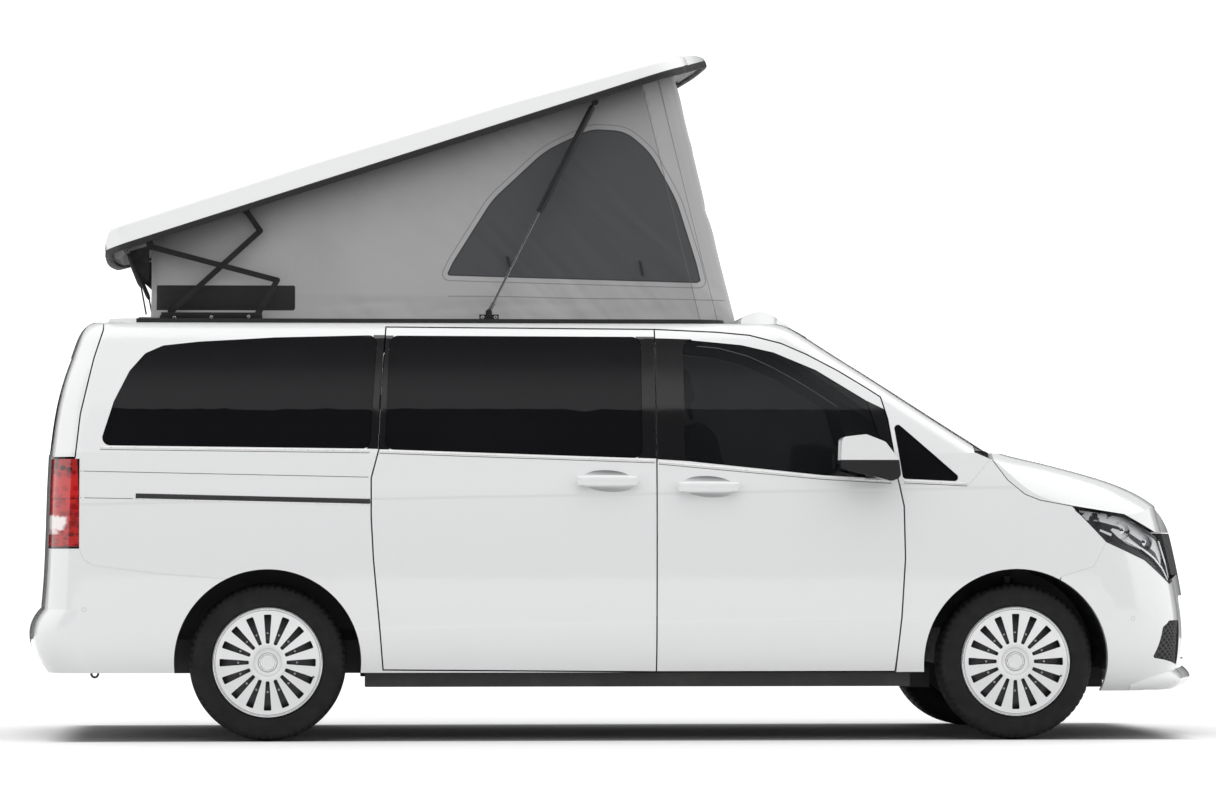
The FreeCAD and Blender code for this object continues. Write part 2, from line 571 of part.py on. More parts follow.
# ---------------------------------------------------------------- scissor linkage
# Pins as (x, z) with the roof open; each bar has its own layer, outwards from the tent.
PIN_A0 = (-1944.0, 1837.5)      # arm A on the body
PIN_A1 = (-1562.0, 2188.0)      # arm A to link A2
PIN_A2 = (-1621.7, 2272.7)      # link A2 on the roof
PIN_X = (-1725.0, 2036.0)       # arm A to arm B
PIN_B0 = (-2032.0, 2116.5)      # arm B on the roof
PIN_B1 = (-1488.0, 1974.0)      # arm B to link B2
PIN_B2 = (-1568.0, 1831.8)      # link B2 on the body
BAR_W, BAR_T, PITCH = 24.0, 8.0, 13.0
Y_A2, Y_A, Y_B, Y_B2 = (-614.0 - i * PITCH for i in range(4))
PIN_R = 6.0
PIN_FIT = 0.05
FACE = 0.5             # a pin that only meets the next bar stops this far from it


def bar(p, q, y, holes=()):
    ang = math.degrees(math.atan2(q[1] - p[1], q[0] - p[0]))
    L = math.hypot(q[0] - p[0], q[1] - p[1])
    s = box(0, L, -BAR_T / 2, BAR_T / 2, -BAR_W / 2, BAR_W / 2)
    for x in (0, L):
        s = s.fuse(cyl(x, -BAR_T / 2, 0, (0, 1, 0), BAR_W / 2, BAR_T))
    s.rotate(V(0, 0, 0), V(0, 1, 0), -ang)
    s.translate(V(p[0], y, p[1]))
    for h in holes:
        s = s.cut(cyl(h[0], y - 10, h[1], (0, 1, 0), PIN_R + PIN_FIT, 20))
    return s


def pin(p, y0, y1, r=PIN_R):
    return cyl(p[0], min(y0, y1), p[1], (0, 1, 0), r, abs(y1 - y0))


HALF = BAR_T / 2
arm_a = bar(PIN_A0, PIN_A1, Y_A, [PIN_A0])
arm_a = fused([arm_a, pin(PIN_X, Y_A - HALF, Y_B + HALF + FACE, 9),
               pin(PIN_A1, Y_A + HALF, Y_A2 - HALF - FACE, 9)])
arm_b = bar(PIN_B0, PIN_B1, Y_B, [PIN_B0])
arm_b = fused([arm_b, pin(PIN_X, Y_B - HALF, Y_B - HALF - 3, 9),
               pin(PIN_B1, Y_B - HALF, Y_B2 + HALF + FACE, 9)])
link_a = bar(PIN_A1, PIN_A2, Y_A2, [PIN_A2])
link_b = bar(PIN_B2, PIN_B1, Y_B2, [PIN_B2])
link_b = link_b.fuse(pin(PIN_B1, Y_B2 - HALF, Y_B2 - HALF - 3, 9))
CHANNEL_Z = 1770.0
BASE_X = (-1992.0, -1552.0)
base_rail = fused([
    box(BASE_X[0], BASE_X[1], -676, -608, CHANNEL_Z, CHANNEL_Z + 5),
    box(BASE_X[0], BASE_X[1], -614, -608, CHANNEL_Z, 1824),
    cyl(PIN_A0[0], -622.5, PIN_A0[1], (0, 1, 0), 16, 14.5),
    box(PIN_A0[0] - 16, PIN_A0[0] + 16, -622.5, -608, 1800, PIN_A0[1]),
    pin(PIN_A0, -610, Y_A - HALF - 2),
    cyl(PIN_B2[0], -676, PIN_B2[1], (0, 1, 0), 15, 10),
    box(PIN_B2[0] - 15, PIN_B2[0] + 15, -676, -666, CHANNEL_Z, PIN_B2[1]),
    pin(PIN_B2, -670, Y_B2 + HALF + 2)])
CHANNEL = box(-2060, -1380, -688, -603, CHANNEL_Z, 1900)
roof = cut(roof, [CHANNEL, mirrored(CHANNEL)])


def hanger(p, y_plate, y_end, r=15.0):
    """Tab from the roof shell's ceiling down to a pin, with the pin on it."""
    d = (-math.sin(math.radians(OPEN_DEG)), math.cos(math.radians(OPEN_DEG)))
    tab = fused([cyl(p[0], y_plate - 3, p[1], (0, 1, 0), r, 6)] + [prism_y([
        (p[0] - r * d[1], p[1] + r * d[0]), (p[0] + r * d[1], p[1] - r * d[0]),
        (p[0] + r * d[1] + 260 * d[0], p[1] - r * d[0] + 260 * d[1]),
        (p[0] - r * d[1] + 260 * d[0], p[1] + r * d[0] + 260 * d[1])],
        y_plate - 3, y_plate + 3)])
    return tab, pin(p, y_plate, y_end)


STRUT_ROOF, STRUT_BASE = (-118.0, 2749.0), (-577.0, 1836.0)
STRUT_Y = -650.0
# tabs end inside the thickness of the roof skin
OVER = [(-2300, 1906), (-2000, 1911), (-1200, 1922), (-300, 1923), (700, 1900), (700, 2600),
        (-2300, 2600)]
over = lift(prism_y(OVER, -900, 900))
tabs = []
for p, y_plate, y_end in ((PIN_A2, Y_A2 + 12, Y_A2 - HALF - 2), (PIN_B0, Y_B - 12, Y_B + HALF
                          + 2), (STRUT_ROOF, STRUT_Y - 18, STRUT_Y + 8)):
    tab, stub = hanger(p, y_plate, y_end)
    tabs.append(tab.cut(over).fuse(stub))
pop_open = fused([lift(pop_top)] + tabs + [mirrored(t) for t in tabs])
rubber_open = lift(rubber)

# ---------------------------------------------------------------- gas struts
TUBE_R, ROD_R, TUBE_L = 14.0, 5.5, 535.0
BORE_R = 6.0
run = math.hypot(STRUT_BASE[0] - STRUT_ROOF[0], STRUT_BASE[1] - STRUT_ROOF[1])
u = ((STRUT_BASE[0] - STRUT_ROOF[0]) / run, (STRUT_BASE[1] - STRUT_ROOF[1]) / run)


def along(a, b, r):
    return cyl(STRUT_ROOF[0] + u[0] * a, STRUT_Y, STRUT_ROOF[1] + u[1] * a, (u[0], 0, u[1]), r,
               b - a)


tube = along(22, TUBE_L, TUBE_R).cut(along(40, TUBE_L + 1, BORE_R))
eye = cyl(STRUT_ROOF[0], STRUT_Y - 6, STRUT_ROOF[1], (0, 1, 0), 13, 12).fuse(along(8, 26, 8))
tube = tube.fuse(eye).cut(cyl(STRUT_ROOF[0], STRUT_Y - 20, STRUT_ROOF[1], (0, 1, 0),
                              PIN_R + PIN_FIT, 40))
rod = along(TUBE_L - 62, run - 8, ROD_R).fuse(along(run - 46, run - 6, 9)).fuse(
    cyl(STRUT_BASE[0], STRUT_Y - 5, STRUT_BASE[1], (0, 1, 0), 11, 10))
strut_foot = fused([box(STRUT_BASE[0] - 24, STRUT_BASE[0] + 24, -682, -648, ROOF_Z, ROOF_Z + 5),
                    box(STRUT_BASE[0] - 14, STRUT_BASE[0] + 14, -676, -668, ROOF_Z, 1836),
                    cyl(STRUT_BASE[0], -676, STRUT_BASE[1], (0, 1, 0), 14, 8),
                    pin(STRUT_BASE, -670, STRUT_Y - 5 - FACE)])
brackets = [base_rail, strut_foot]

# ---------------------------------------------------------------- wheels
RIM_R = 219.0
STUB_R, STUB_FIT = 30.0, 0.05
SLOTS = 16
COVER = [(0, 907), (36, 907), (41, 901), (60, 899), (72, 905), (200, 920), (222, 925), (233, 922),
         (235, 915), (222, 914), (200, 909), (72, 893), (60, 888), (0, 888)]
TYRE = [(219, 716), (250, 708), (285, 705), (308, 710), (324, 724), (332, 746), (334, 770),
        (334, 865), (332, 889), (324, 911), (308, 925), (285, 930), (250, 927), (238, 924),
        (236, 912.5), (219, 912.5)]


def spun(profile, x, side):
    """Profile of (radius, distance out) turned about the wheel's own axis."""
    pts = [V(x, side * y, HUB_Z + r) for r, y in profile]
    face = Part.Face(Part.makePolygon(pts + [pts[0]]))
    return face.revolve(V(x, 0, HUB_Z), V(0, 1, 0), 360)


def wheel(x, side):
    cover = spun(COVER, x, side)
    cuts = []
    for i in range(SLOTS):
        slot = Part.Face(wire([(80, -7.5), (80, 7.5), (204, 16.5), (204, -16.5)],
                              lambda a, b: V(x + b, side * 880, HUB_Z + a), 5))
        slot = slot.extrude(V(0, side * 60, 0))
        slot.rotate(V(x, 0, HUB_Z), V(0, 1, 0), 360.0 * i / SLOTS)
        cuts.append(slot)
    cover = cut(cover, cuts)
    barrel = spun([(205, 714), (RIM_R, 714), (RIM_R, 915), (205, 915)], x, side)
    disc = spun([(0, 842), (60, 842), (90, 852), (206, 858), (206, 866), (88, 862), (62, 889),
                 (0, 889)], x, side)
    hub = spun([(0, 800), (62, 800), (62, 845), (0, 845)], x, side)
    rim = spun([(206, 904), (RIM_R, 904), (RIM_R, 916), (206, 916)], x, side)
    w = fused([cover, barrel, disc, hub, rim])
    bore = cyl(x, side * 790, HUB_Z, (0, side, 0), STUB_R + STUB_FIT, 86)
    return w.cut(bore)


def tyre(x, side):
    return spun(TYRE, x, side)


KING_Y = 730.0
ENGINE_Z = 330.0
KNUCKLE_LOW, KNUCKLE_TOP = 248.0, 430.0


def knuckle(side):
    x = FRONT_AXLE_X
    y = lambda a, b: (min(side * a, side * b), max(side * a, side * b))
    parts = [box(x - 30, x + 30, *y(712, 752), KNUCKLE_LOW, KNUCKLE_TOP),
             cyl(x, side * 740, HUB_Z, (0, side, 0), STUB_R, 134),
             cyl(x, side * 740, HUB_Z, (0, side, 0), 55, 34),
             box(x - 26, x + 26, *y(622, 730), 396, KNUCKLE_TOP),
             cyl(x, side * 645, 405, (0, 0, 1), 24, 290),
             box(x - 130, x - 20, *y(714, 738), 300, 322)]
    return fused(parts)


front_axle = fused(
    [box(1590, 1760, -420, 420, 236, 300), cyl(RACK[0], -560, RACK[1], (0, 1, 0), RACK[2], 1120),
     box(1520, 1600, -300, 300, 290, 330)] +
    [box(1650, 1700, min(s * 400, s * 748), max(s * 400, s * 748), 212, 240) for s in (-1, 1)] +
    [box(1640, 1710, min(s * 360, s * 420), max(s * 360, s * 420), 230, 470) for s in (-1, 1)] +
    [box(1400, 1760, s * 390 - 30, s * 390 + 30, 440, 480) for s in (-1, 1)] +
    [box(1650, 1750, s * 200 - 50, s * 200 + 50, 290, ENGINE_Z - SEAT) for s in (-1, 1)] +
    [cyl(FRONT_AXLE_X, s * KING_Y, 230, (0, 0, 1), 10, KNUCKLE_LOW - SEAT - 230)
     for s in (-1, 1)])
front_axle = front_axle.cut(box(1300, 1490 + SEAT, -500, 500, 400, 500))
rear_axle = fused(
    [cyl(REAR_AXLE_X, -760, HUB_Z, (0, 1, 0), 42, 1520),
     cyl(REAR_AXLE_X, -874, HUB_Z, (0, 1, 0), STUB_R, 1748)] +
    [cyl(REAR_AXLE_X, s * 760, HUB_Z, (0, -s, 0), 60, 60) for s in (-1, 1)] +
    [box(-1545, -1010, s * 520 - 28, s * 520 + 28, 316, 360) for s in (-1, 1)] +
    [box(-1040, -980, s * 520 - 34, s * 520 + 34, 316, 400) for s in (-1, 1)] +
    [cyl(REAR_AXLE_X, s * 520, HUB_Z, (0, 0, 1), 56, 66) for s in (-1, 1)])
EYE = (-2272.0, -520.0, 276.0, 19.0, 10.0)     # centre, outside radius, bore radius
tow_eye = fused([cyl(EYE[0], -528, EYE[2], (0, 1, 0), EYE[3], 16),
                 box(-2286, -2258, -528, -512, EYE[2] + 14, 400)])
tow_eye = tow_eye.cut(cyl(EYE[0], -540, EYE[2], (0, 1, 0), EYE[4], 40))

# ---------------------------------------------------------------- mirrors and cabin
MIRROR = [(905, 1292), (1010, 1304), (1092, 1272), (1150, 1196), (1159, 1122), (1120, 1105),
          (900, 1160)]
head = prism_y(MIRROR, -1124, -992, 26)
head = head.cut(box(880, 914, -1112, -1004, 1178, 1282))
neck = prism_z([(1030, -940), (1120, -940), (1100, -1000), (1020, -1000)], 1106, 1142)
neck = neck.cut(box(900, 1200, -1200, 0, 0, 1118)).fuse(box(1030, 1100, -1010, -992, 1118, 1142))
mirror = head.fuse(neck)
mirror = mirror.cut(stack(MID).fuse(stack(TOP)))


def seat(y):
    back = box(-60, 60, y - 240, y + 240, 0, 560)
    back.rotate(V(0, y, 0), V(0, 1, 0), -14)
    back.translate(V(450, 0, 850))
    head_r = box(-45, 45, y - 130, y + 130, 600, 790)
    head_r.rotate(V(0, y, 0), V(0, 1, 0), -14)
    head_r.translate(V(450, 0, 850))
    post_r = box(-12, 12, y - 60, y + 60, 550, 610)
    post_r.rotate(V(0, y, 0), V(0, 1, 0), -14)
    post_r.translate(V(450, 0, 850))
    cushion = box(420, 950, y - 250, y + 250, 740, 880)
    plinth = box(450, 900, y - 210, y + 210, FLOOR_Z + FLOOR_T, 745)
    return fused([back, head_r, post_r, cushion, plinth])


dash = prism_y([(1150, 860), (1120, 1010), (1180, 1130), (1400, 1160), (1456 - SEAT, 1160), (1456 - SEAT, 860)],
               -830, 830, 40)
column = cyl(1150, 400, 1000, (-0.87, 0, 0.30), 32, 190)
ring = Part.makeTorus(182, 15, V(0, 0, 0), V(0, 0, 1))
spoke = box(-175, 175, -20, 20, -8, 8).fuse(cyl(0, 0, -12, (0, 0, 1), 60, 24))
steer = ring.fuse(spoke)
steer.rotate(V(0, 0, 0), V(0, 0, 1), 90)
steer.rotate(V(0, 0, 0), V(0, 1, 0), -62)
steer.translate(V(985, 400, 1080))
dash = fused([dash, column, steer])
engine = box(1640, 2200, -330, 330, ENGINE_Z, 900)

save("body_side_right", side)
save("body_side_left", mirrored(side))
save("roof_frame", roof)
save("floor_pan", floor)
save("bulkhead", bulkhead)
save("front_fenders", pair(fender))
save("front_bumper", bumper)
save("grille", grille)
save("rear_bumper", bumper_rear)
save("windscreen", windscreen)
save("side_glass", Part.makeCompound([s for g in (slide_glass, rear_glass, quarter_glass)
                                      for s in solids(g) + solids(mirrored(g))]))
save("sliding_doors", pair(slide))
save("door_right", door)
save("door_left", mirrored(door))
save("door_glass_right", door_glass)
save("door_glass_left", mirrored(door_glass))
save("bonnet", bonnet)
save("tailgate", gate)
save("tailgate_glass", gate_glass)
save("headlamps", pair(lamp_front))
save("tail_lamps", pair(lamp_rear))
save("tow_eye", tow_eye)
save("front_axle", front_axle)
save("rear_axle", rear_axle)
save("seats", Part.makeCompound([seat(-450), seat(450)]))
save("dashboard", dash)
save("engine_block", engine)
save("mirror_right", mirror)
save("mirror_left", mirrored(mirror))
save("pop_top", pop_open)
save("pop_top_seal", rubber_open)
save("roof_rail", rail)
save("roof_fairing", fairing)
save("tent", tent)
save("scissor_arms_a", pair(arm_a))
save("scissor_arms_b", pair(arm_b))
save("scissor_links_a", pair(link_a))
save("scissor_links_b", pair(link_b))
save("roof_brackets", Part.makeCompound(brackets + [mirrored(b) for b in brackets]))
save("strut_tubes", pair(tube))
save("strut_rods", pair(rod))
for name, x, side in (("front_right", FRONT_AXLE_X, -1), ("front_left", FRONT_AXLE_X, 1),
                      ("rear_right", REAR_AXLE_X, -1), ("rear_left", REAR_AXLE_X, 1)):
    save("wheel_" + name, wheel(x, side))
    save("tyre_" + name, tyre(x, side))
save("knuckle_right", knuckle(-1))
save("knuckle_left", knuckle(1))
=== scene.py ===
"""Camper van with the sleeping roof raised: looks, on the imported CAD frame. Metres."""
import itertools
import math

import numpy as np
import bpy
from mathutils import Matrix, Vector
from mathutils.bvhtree import BVHTree


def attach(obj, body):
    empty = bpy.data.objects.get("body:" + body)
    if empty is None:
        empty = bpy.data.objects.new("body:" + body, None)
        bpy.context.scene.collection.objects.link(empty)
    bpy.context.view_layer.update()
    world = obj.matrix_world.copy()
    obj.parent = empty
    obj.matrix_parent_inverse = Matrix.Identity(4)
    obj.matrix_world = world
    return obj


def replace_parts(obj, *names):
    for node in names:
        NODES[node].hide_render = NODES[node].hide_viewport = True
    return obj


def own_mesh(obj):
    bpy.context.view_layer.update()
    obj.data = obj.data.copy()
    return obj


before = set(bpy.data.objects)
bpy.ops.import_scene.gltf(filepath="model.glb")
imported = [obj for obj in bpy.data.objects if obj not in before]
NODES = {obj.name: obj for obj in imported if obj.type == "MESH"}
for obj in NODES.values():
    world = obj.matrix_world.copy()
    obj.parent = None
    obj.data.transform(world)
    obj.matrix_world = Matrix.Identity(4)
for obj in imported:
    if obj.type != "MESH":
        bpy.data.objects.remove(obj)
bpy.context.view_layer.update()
bpy.context.scene.view_settings.view_transform = "Standard"

# Places that the CAD source names too, in metres.
REAR_AXLE_X, FRONT_AXLE_X, HUB_Z = -1.525, 1.675, 0.334
POLE, OPEN = (-3.0517, 1.7396), math.radians(17.3)
TENT_X0, TENT_X1, TENT_Y = -2.036, 0.506, 0.585


# ---------------------------------------------------------------- shader maths
def node(tree, kind, sockets, out=0, **settings):
    """One output of a new node. Its settings come first, then its sockets, by name or number, each
    from a plain value or from another node's output."""
    n = tree.nodes.new("ShaderNode" + kind)
    for key, value in settings.items():
        setattr(n, key, value)
    for key, value in sockets.items():
        if isinstance(value, S):
            tree.links.new(value.sock, n.inputs[key])
        else:
            n.inputs[key].default_value = value
    return S(tree, n.outputs[out])


class S:
    """A shader value, so that node maths reads as plain maths."""

    def __init__(self, tree, sock):
        self.tree, self.sock = tree, sock

    def op(self, kind, *others):
        return node(self.tree, "Math", dict(enumerate((self,) + others)), operation=kind)

    def __add__(self, o):
        return self.op("ADD", o)

    def __sub__(self, o):
        return self.op("SUBTRACT", o)

    def __rsub__(self, o):
        return self * -1.0 + o

    def __mul__(self, o):
        return self.op("MULTIPLY", o)

    __radd__, __rmul__ = __add__, __mul__

    def abs(self):
        return self.op("ABSOLUTE")

    def root(self):
        return self.op("SQRT")

    def max(self, o):
        return self.op("MAXIMUM", o)

    def min(self, o):
        return self.op("MINIMUM", o)

    def wave(self, step):
        """0 to 1 and back once every step."""
        return (self * (2 * math.pi / step)).op("SINE") * 0.5 + 0.5

    def ramp(self, a, b, to0=0.0, to1=1.0):
        """Smooth step: to0 at a, to1 at b."""
        ends = (b, a, to1, to0) if a > b else (a, b, to0, to1)
        return node(self.tree, "MapRange", dict(enumerate((self,) + ends)), interpolation_type="SMOOTHSTEP")

    def line(self, at, half, edge):
        """1 within half of a value, 0 from edge away on."""
        return (self - at).abs().ramp(edge, half)


class Mat:
    """A principled material with named constants and procedural colour, roughness and bump."""

    def __init__(self, name, colour, rough=0.5, metal=0.0, **fixed):
        self.m = bpy.data.materials.new(name)
        self.m.use_nodes = True
        self.t = self.m.node_tree
        self.b = self.t.nodes["Principled BSDF"]
        fixed.update(Base_Color=(*colour, 1), Roughness=rough, Metallic=metal)
        for key, value in fixed.items():
            self.b.inputs[key.replace("_", " ")].default_value = value
        self.co = node(self.t, "TexCoord", {}, "Object")
        self.x, self.y, self.z = (node(self.t, "SeparateXYZ", {0: self.co}, i) for i in range(3))

    def scaled(self, stretch):
        return node(self.t, "Mapping", {"Vector": self.co, "Scale": stretch})

    def noise(self, scale, detail=2.0, rough=0.5, stretch=(1, 1, 1)):
        return node(self.t, "TexNoise", {"Scale": scale, "Detail": detail, "Roughness": rough,
                                         "Vector": self.scaled(stretch)})

    def cells(self, scale, stretch=(1, 1, 1)):
        return node(self.t, "TexVoronoi", {"Scale": scale, "Vector": self.scaled(stretch)}, "Distance")

    def attr(self, name):
        return node(self.t, "Attribute", {}, "Fac", attribute_name=name)

    def fed(self, name):
        """What feeds one of the shader's sockets: another node's output, or a plain value."""
        s = self.b.inputs[name]
        return S(self.t, s.links[0].from_socket) if s.is_linked else s.default_value

    def drive(self, name, value):
        self.t.links.new(value.sock, self.b.inputs[name])

    def tint(self, factor, colour):
        """Where factor is 1 the surface takes this colour."""
        self.drive("Base Color", node(self.t, "Mix", {"Factor": factor, 6: self.fed("Base Color"),
                                                      7: (*colour, 1)}, 2, data_type="RGBA"))

    def bump(self, height, distance, strength):
        """Relief, on top of the relief that is there."""
        sockets = {"Strength": strength, "Distance": distance, "Height": height}
        if self.b.inputs["Normal"].is_linked:
            sockets["Normal"] = self.fed("Normal")
        self.drive("Normal", node(self.t, "Bump", sockets))

    def mottle(self, scale, detail, low, high, most, colour):
        """This colour in patches of noise, from none at low to most at high."""
        self.tint(self.noise(scale, detail).ramp(low, high, 0, most), colour)

    def uneven(self, scale, detail, low, high):
        """Roughness between low and high in patches of noise."""
        self.drive("Roughness", self.noise(scale, detail).ramp(0.3, 0.7, low, high))

    def side_of(self, a, b, soft=0.0006):
        """1 on the left-hand side of the line from a to b in the x, z plane."""
        n = np.array([-(b[1] - a[1]), b[0] - a[0]]) / math.hypot(b[0] - a[0], b[1] - a[1])
        return (self.x * float(n[0]) + self.z * float(n[1]) - float(n @ a)).ramp(-soft, soft)

    def patch(self, *outline):
        """1 inside a convex outline of (x, z) points that run anticlockwise."""
        f = self.side_of(outline[-1], outline[0])
        for a, b in zip(outline, outline[1:]):
            f = f * self.side_of(a, b)
        return f


def put(mat, *names):
    """This material takes every slot of these CAD nodes."""
    for name in names:
        o = NODES[name]
        if not o.data.materials:
            o.data.materials.append(mat.m)
        for i in range(len(o.data.materials)):
            o.data.materials[i] = mat.m


# ---------------------------------------------------------------- mesh makers
def mesh(name, verts, faces, body, mat, smooth=True, attrs=None):
    """A piece from vertices and faces, riding on a CAD body."""
    me = bpy.data.meshes.new(name)
    me.from_pydata([tuple(map(float, v)) for v in verts], [], [tuple(map(int, f)) for f in faces])
    me.validate()
    me.update()
    for k, vals in (attrs or {}).items():
        a = me.attributes.new(k, "FLOAT", "POINT")
        a.data.foreach_set("value", np.asarray(vals, np.float32))
    o = bpy.data.objects.new(name, me)
    bpy.context.scene.collection.objects.link(o)
    me.materials.append(mat.m)
    if smooth:
        me.polygons.foreach_set("use_smooth", [True] * len(me.polygons))
    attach(o, body)
    return o


def grid_faces(nu, nv, loop_u=False, loop_v=False):
    """Quads of a nu by nv grid, closed along u or v where asked."""
    u = np.arange(nu if loop_u else nu - 1)
    v = np.arange(nv if loop_v else nv - 1)
    uu, vv = np.meshgrid(u, v, indexing="ij")
    un, vn = (uu + 1) % nu, (vv + 1) % nv
    q = np.stack([uu * nv + vv, un * nv + vv, un * nv + vn, uu * nv + vn], -1)
    return q.reshape(-1, 4).tolist()


def join(parts):
    """(verts, faces) pairs as one pair."""
    vs, fs, n = [], [], 0
    for v, f in parts:
        v = np.asarray(v, float).reshape(-1, 3)
        vs.append(v)
        fs += [tuple(i + n for i in face) for face in f]
        n += len(v)
    return np.concatenate(vs), fs


def slab(x0, x1, y0, y1, z0, z1, r):
    """Box with its twelve edges chamfered by r: three points at each corner, one on each face."""
    v, f = [], []
    for corner in itertools.product((0, 1), repeat=3):
        p = np.where(corner, (x1, y1, z1), (x0, y0, z0))
        v += [p + (1 - 2 * np.array(corner)) * r * k for k in ((0, 1, 1), (1, 0, 1), (1, 1, 0))]

    def point(ends, face):
        """The point on the face across this axis at the corner with these ends, by axis."""
        return (ends[0] * 4 + ends[1] * 2 + ends[2]) * 3 + face

    for k, i, j in ((0, 1, 2), (1, 0, 2), (2, 0, 1)):
        f += [[point({k: a, i: b, j: c}, k) for b, c in ((0, 0), (0, 1), (1, 1), (1, 0))] for a in (0, 1)]
    for a, b in itertools.product((0, 1), repeat=2):
        f += [[point({i: a, j: b, k: c}, face) for c, face in ((0, i), (1, i), (1, j), (0, j))]
              for i, j, k in ((0, 1, 2), (0, 2, 1), (1, 2, 0))]
    f += [[n * 3, n * 3 + 1, n * 3 + 2] for n in range(8)]
    return np.array(v), f


def tube(path, r, n=14, closed=False):
    """Round tube of radius r, one or one per point, along the points, with capped ends."""
    p = np.asarray(path, float)
    m = len(p)
    rad = np.broadcast_to(np.asarray(r, float), (m,))
    t = np.roll(p, -1, 0) - np.roll(p, 1, 0) if closed else np.gradient(p, axis=0)
    t /= np.linalg.norm(t, axis=1)[:, None] + 1e-12
    ref = np.array([0.0, 1.0, 0.0]) if abs(t[:, 1]).mean() < 0.8 else np.array([1.0, 0, 0])
    a = np.cross(t, ref)
    a /= np.linalg.norm(a, axis=1)[:, None]
    b = np.cross(t, a)
    th = np.linspace(0, 2 * math.pi, n, endpoint=False)
    v = p[:, None] + rad[:, None, None] * (a[:, None] * np.cos(th)[None, :, None]
                                           + b[:, None] * np.sin(th)[None, :, None])
    f = grid_faces(m, n, closed, True)
    if not closed:
        f += [tuple(range(n)), tuple(range((m - 1) * n, m * n))]
    return v.reshape(-1, 3), f


def across(p, closed=False):
    """Unit normal of a plane line, on its left, at each of its points."""
    t = np.roll(p, -1, 0) - np.roll(p, 1, 0) if closed else np.gradient(p, axis=0)
    t /= np.linalg.norm(t, axis=1)[:, None] + 1e-12
    return np.stack([-t[:, 1], t[:, 0]], 1)


def shrunk(loop, centre, sizes):
    """A plane outline drawn once in each size about its centre."""
    return centre + (loop[:, None] - centre) * sizes[None, :, None]


def lathe(profile, centre, axis_y=1.0, n=96, closed=True):
    """Profile of (radius, distance along y) turned about a y axis through centre."""
    pr = np.asarray(profile, float)
    th = np.linspace(0, 2 * math.pi, n, endpoint=False)
    v = np.stack([centre[0] + pr[None, :, 0] * np.sin(th)[:, None],
                  centre[1] + axis_y * np.broadcast_to(pr[None, :, 1], (n, len(pr))),
                  centre[2] + pr[None, :, 0] * np.cos(th)[:, None]], -1)
    return v.reshape(-1, 3), grid_faces(n, len(pr), True, closed)


def bolt(x, y, z, r=0.008, h=0.006, out=-1.0, socket=True):
    """Domed button head, with a round socket or plain, its axis along y, standing out to side out."""
    pr = [(0.45 * r, 0.2 * h), (0.45 * r, h * 0.95)] if socket else [(0.25 * r, h * 1.04)]
    pr += [(0.7 * r, h), (0.92 * r, h * 0.7), (r, h * 0.25), (r, 0)]
    v, f = lathe([(a, out * b) for a, b in pr], (x, y, z), 1.0, 18, False)
    n = len(pr)
    f.append(tuple(i * n for i in range(18)))
    return v, f


def resample(points, step, closed=False):
    """Points every step along a polyline."""
    p = np.asarray(points, float)
    if closed:
        p = np.vstack([p, p[:1]])
    d = np.r_[0, np.cumsum(np.linalg.norm(np.diff(p, axis=0), axis=1))]
    n = max(2, int(round(d[-1] / step)))
    s = np.linspace(0, d[-1], n, endpoint=not closed)
    return np.stack([np.interp(s, d, p[:, i]) for i in range(p.shape[1])], 1)


def rounded(points, r, n=6):
    """Corners of a closed outline rounded by r (one or one a corner), as plain points."""
    p = np.asarray(points, float)
    rs = np.broadcast_to(r, (len(p),))
    out = []
    for i, c in enumerate(p):
        a, b = p[i - 1] - c, p[(i + 1) % len(p)] - c
        la, lb = np.linalg.norm(a), np.linalg.norm(b)
        a, b = a / la, b / lb
        half = math.acos(np.clip(a @ b, -1, 1)) / 2
        d = min(rs[i] / max(math.tan(half), 1e-6), 0.49 * la, 0.49 * lb)
        for t in np.linspace(0, 1, n):
            out.append(c + a * d * (1 - t) ** 2 + b * d * t ** 2)
    return np.array(out)


def signed(points, poly):
    """Distance of (u, v) points from a closed outline, above 0 inside it."""
    p = np.asarray(points, float)
    a = np.asarray(poly, float)
    b = np.roll(a, -1, 0)
    best = np.full(len(p), 1e9)
    inside = np.zeros(len(p), bool)
    for (ax, ay), (bx, by) in zip(a, b):
        ex, ey = bx - ax, by - ay
        t = np.clip(((p[:, 0] - ax) * ex + (p[:, 1] - ay) * ey) / (ex * ex + ey * ey + 1e-12), 0, 1)
        best = np.minimum(best, np.hypot(p[:, 0] - ax - t * ex, p[:, 1] - ay - t * ey))
        cross = (ay > p[:, 1]) != (by > p[:, 1])
        inside ^= cross & (p[:, 0] < ex * (p[:, 1] - ay) / (ey if ey else 1e-12) + ax)
    return np.where(inside, best, -best)


class Skin:
    """The CAD skin of some nodes, seen square on from one side."""

    def __init__(self, *names, towards=(0, 1, 0), start=-1.6):
        data = [NODES[n].data for n in names]
        v, f = join([([v.co[:] for v in d.vertices], [p.vertices[:] for p in d.polygons]) for d in data])
        self.tree = BVHTree.FromPolygons(v.tolist(), f)
        self.d, self.start = Vector(towards), start

    def at(self, points):
        """Depth along the look for each (a, b) point: (x, z) from the side, (y, z) from an end."""
        out = []
        for a, b in points:
            o = Vector((a, self.start, b)) if self.d.y else Vector((self.start, a, b))
            hit = self.tree.ray_cast(o, self.d, 1.0)[0]
            out.append(np.nan if hit is None else (hit.y if self.d.y else hit.x))
        out = np.array(out)
        bad = np.isnan(out)
        if bad.any():
            i = np.arange(len(out))
            out[bad] = np.interp(i[bad], i[~bad], out[~bad])
        return out


def on_side(skin, points, out):
    """Points (x, z) on the right-hand skin, standing out by out metres."""
    p = np.asarray(points, float)
    return np.stack([p[:, 0], skin.at(p) - out, p[:, 1]], 1)


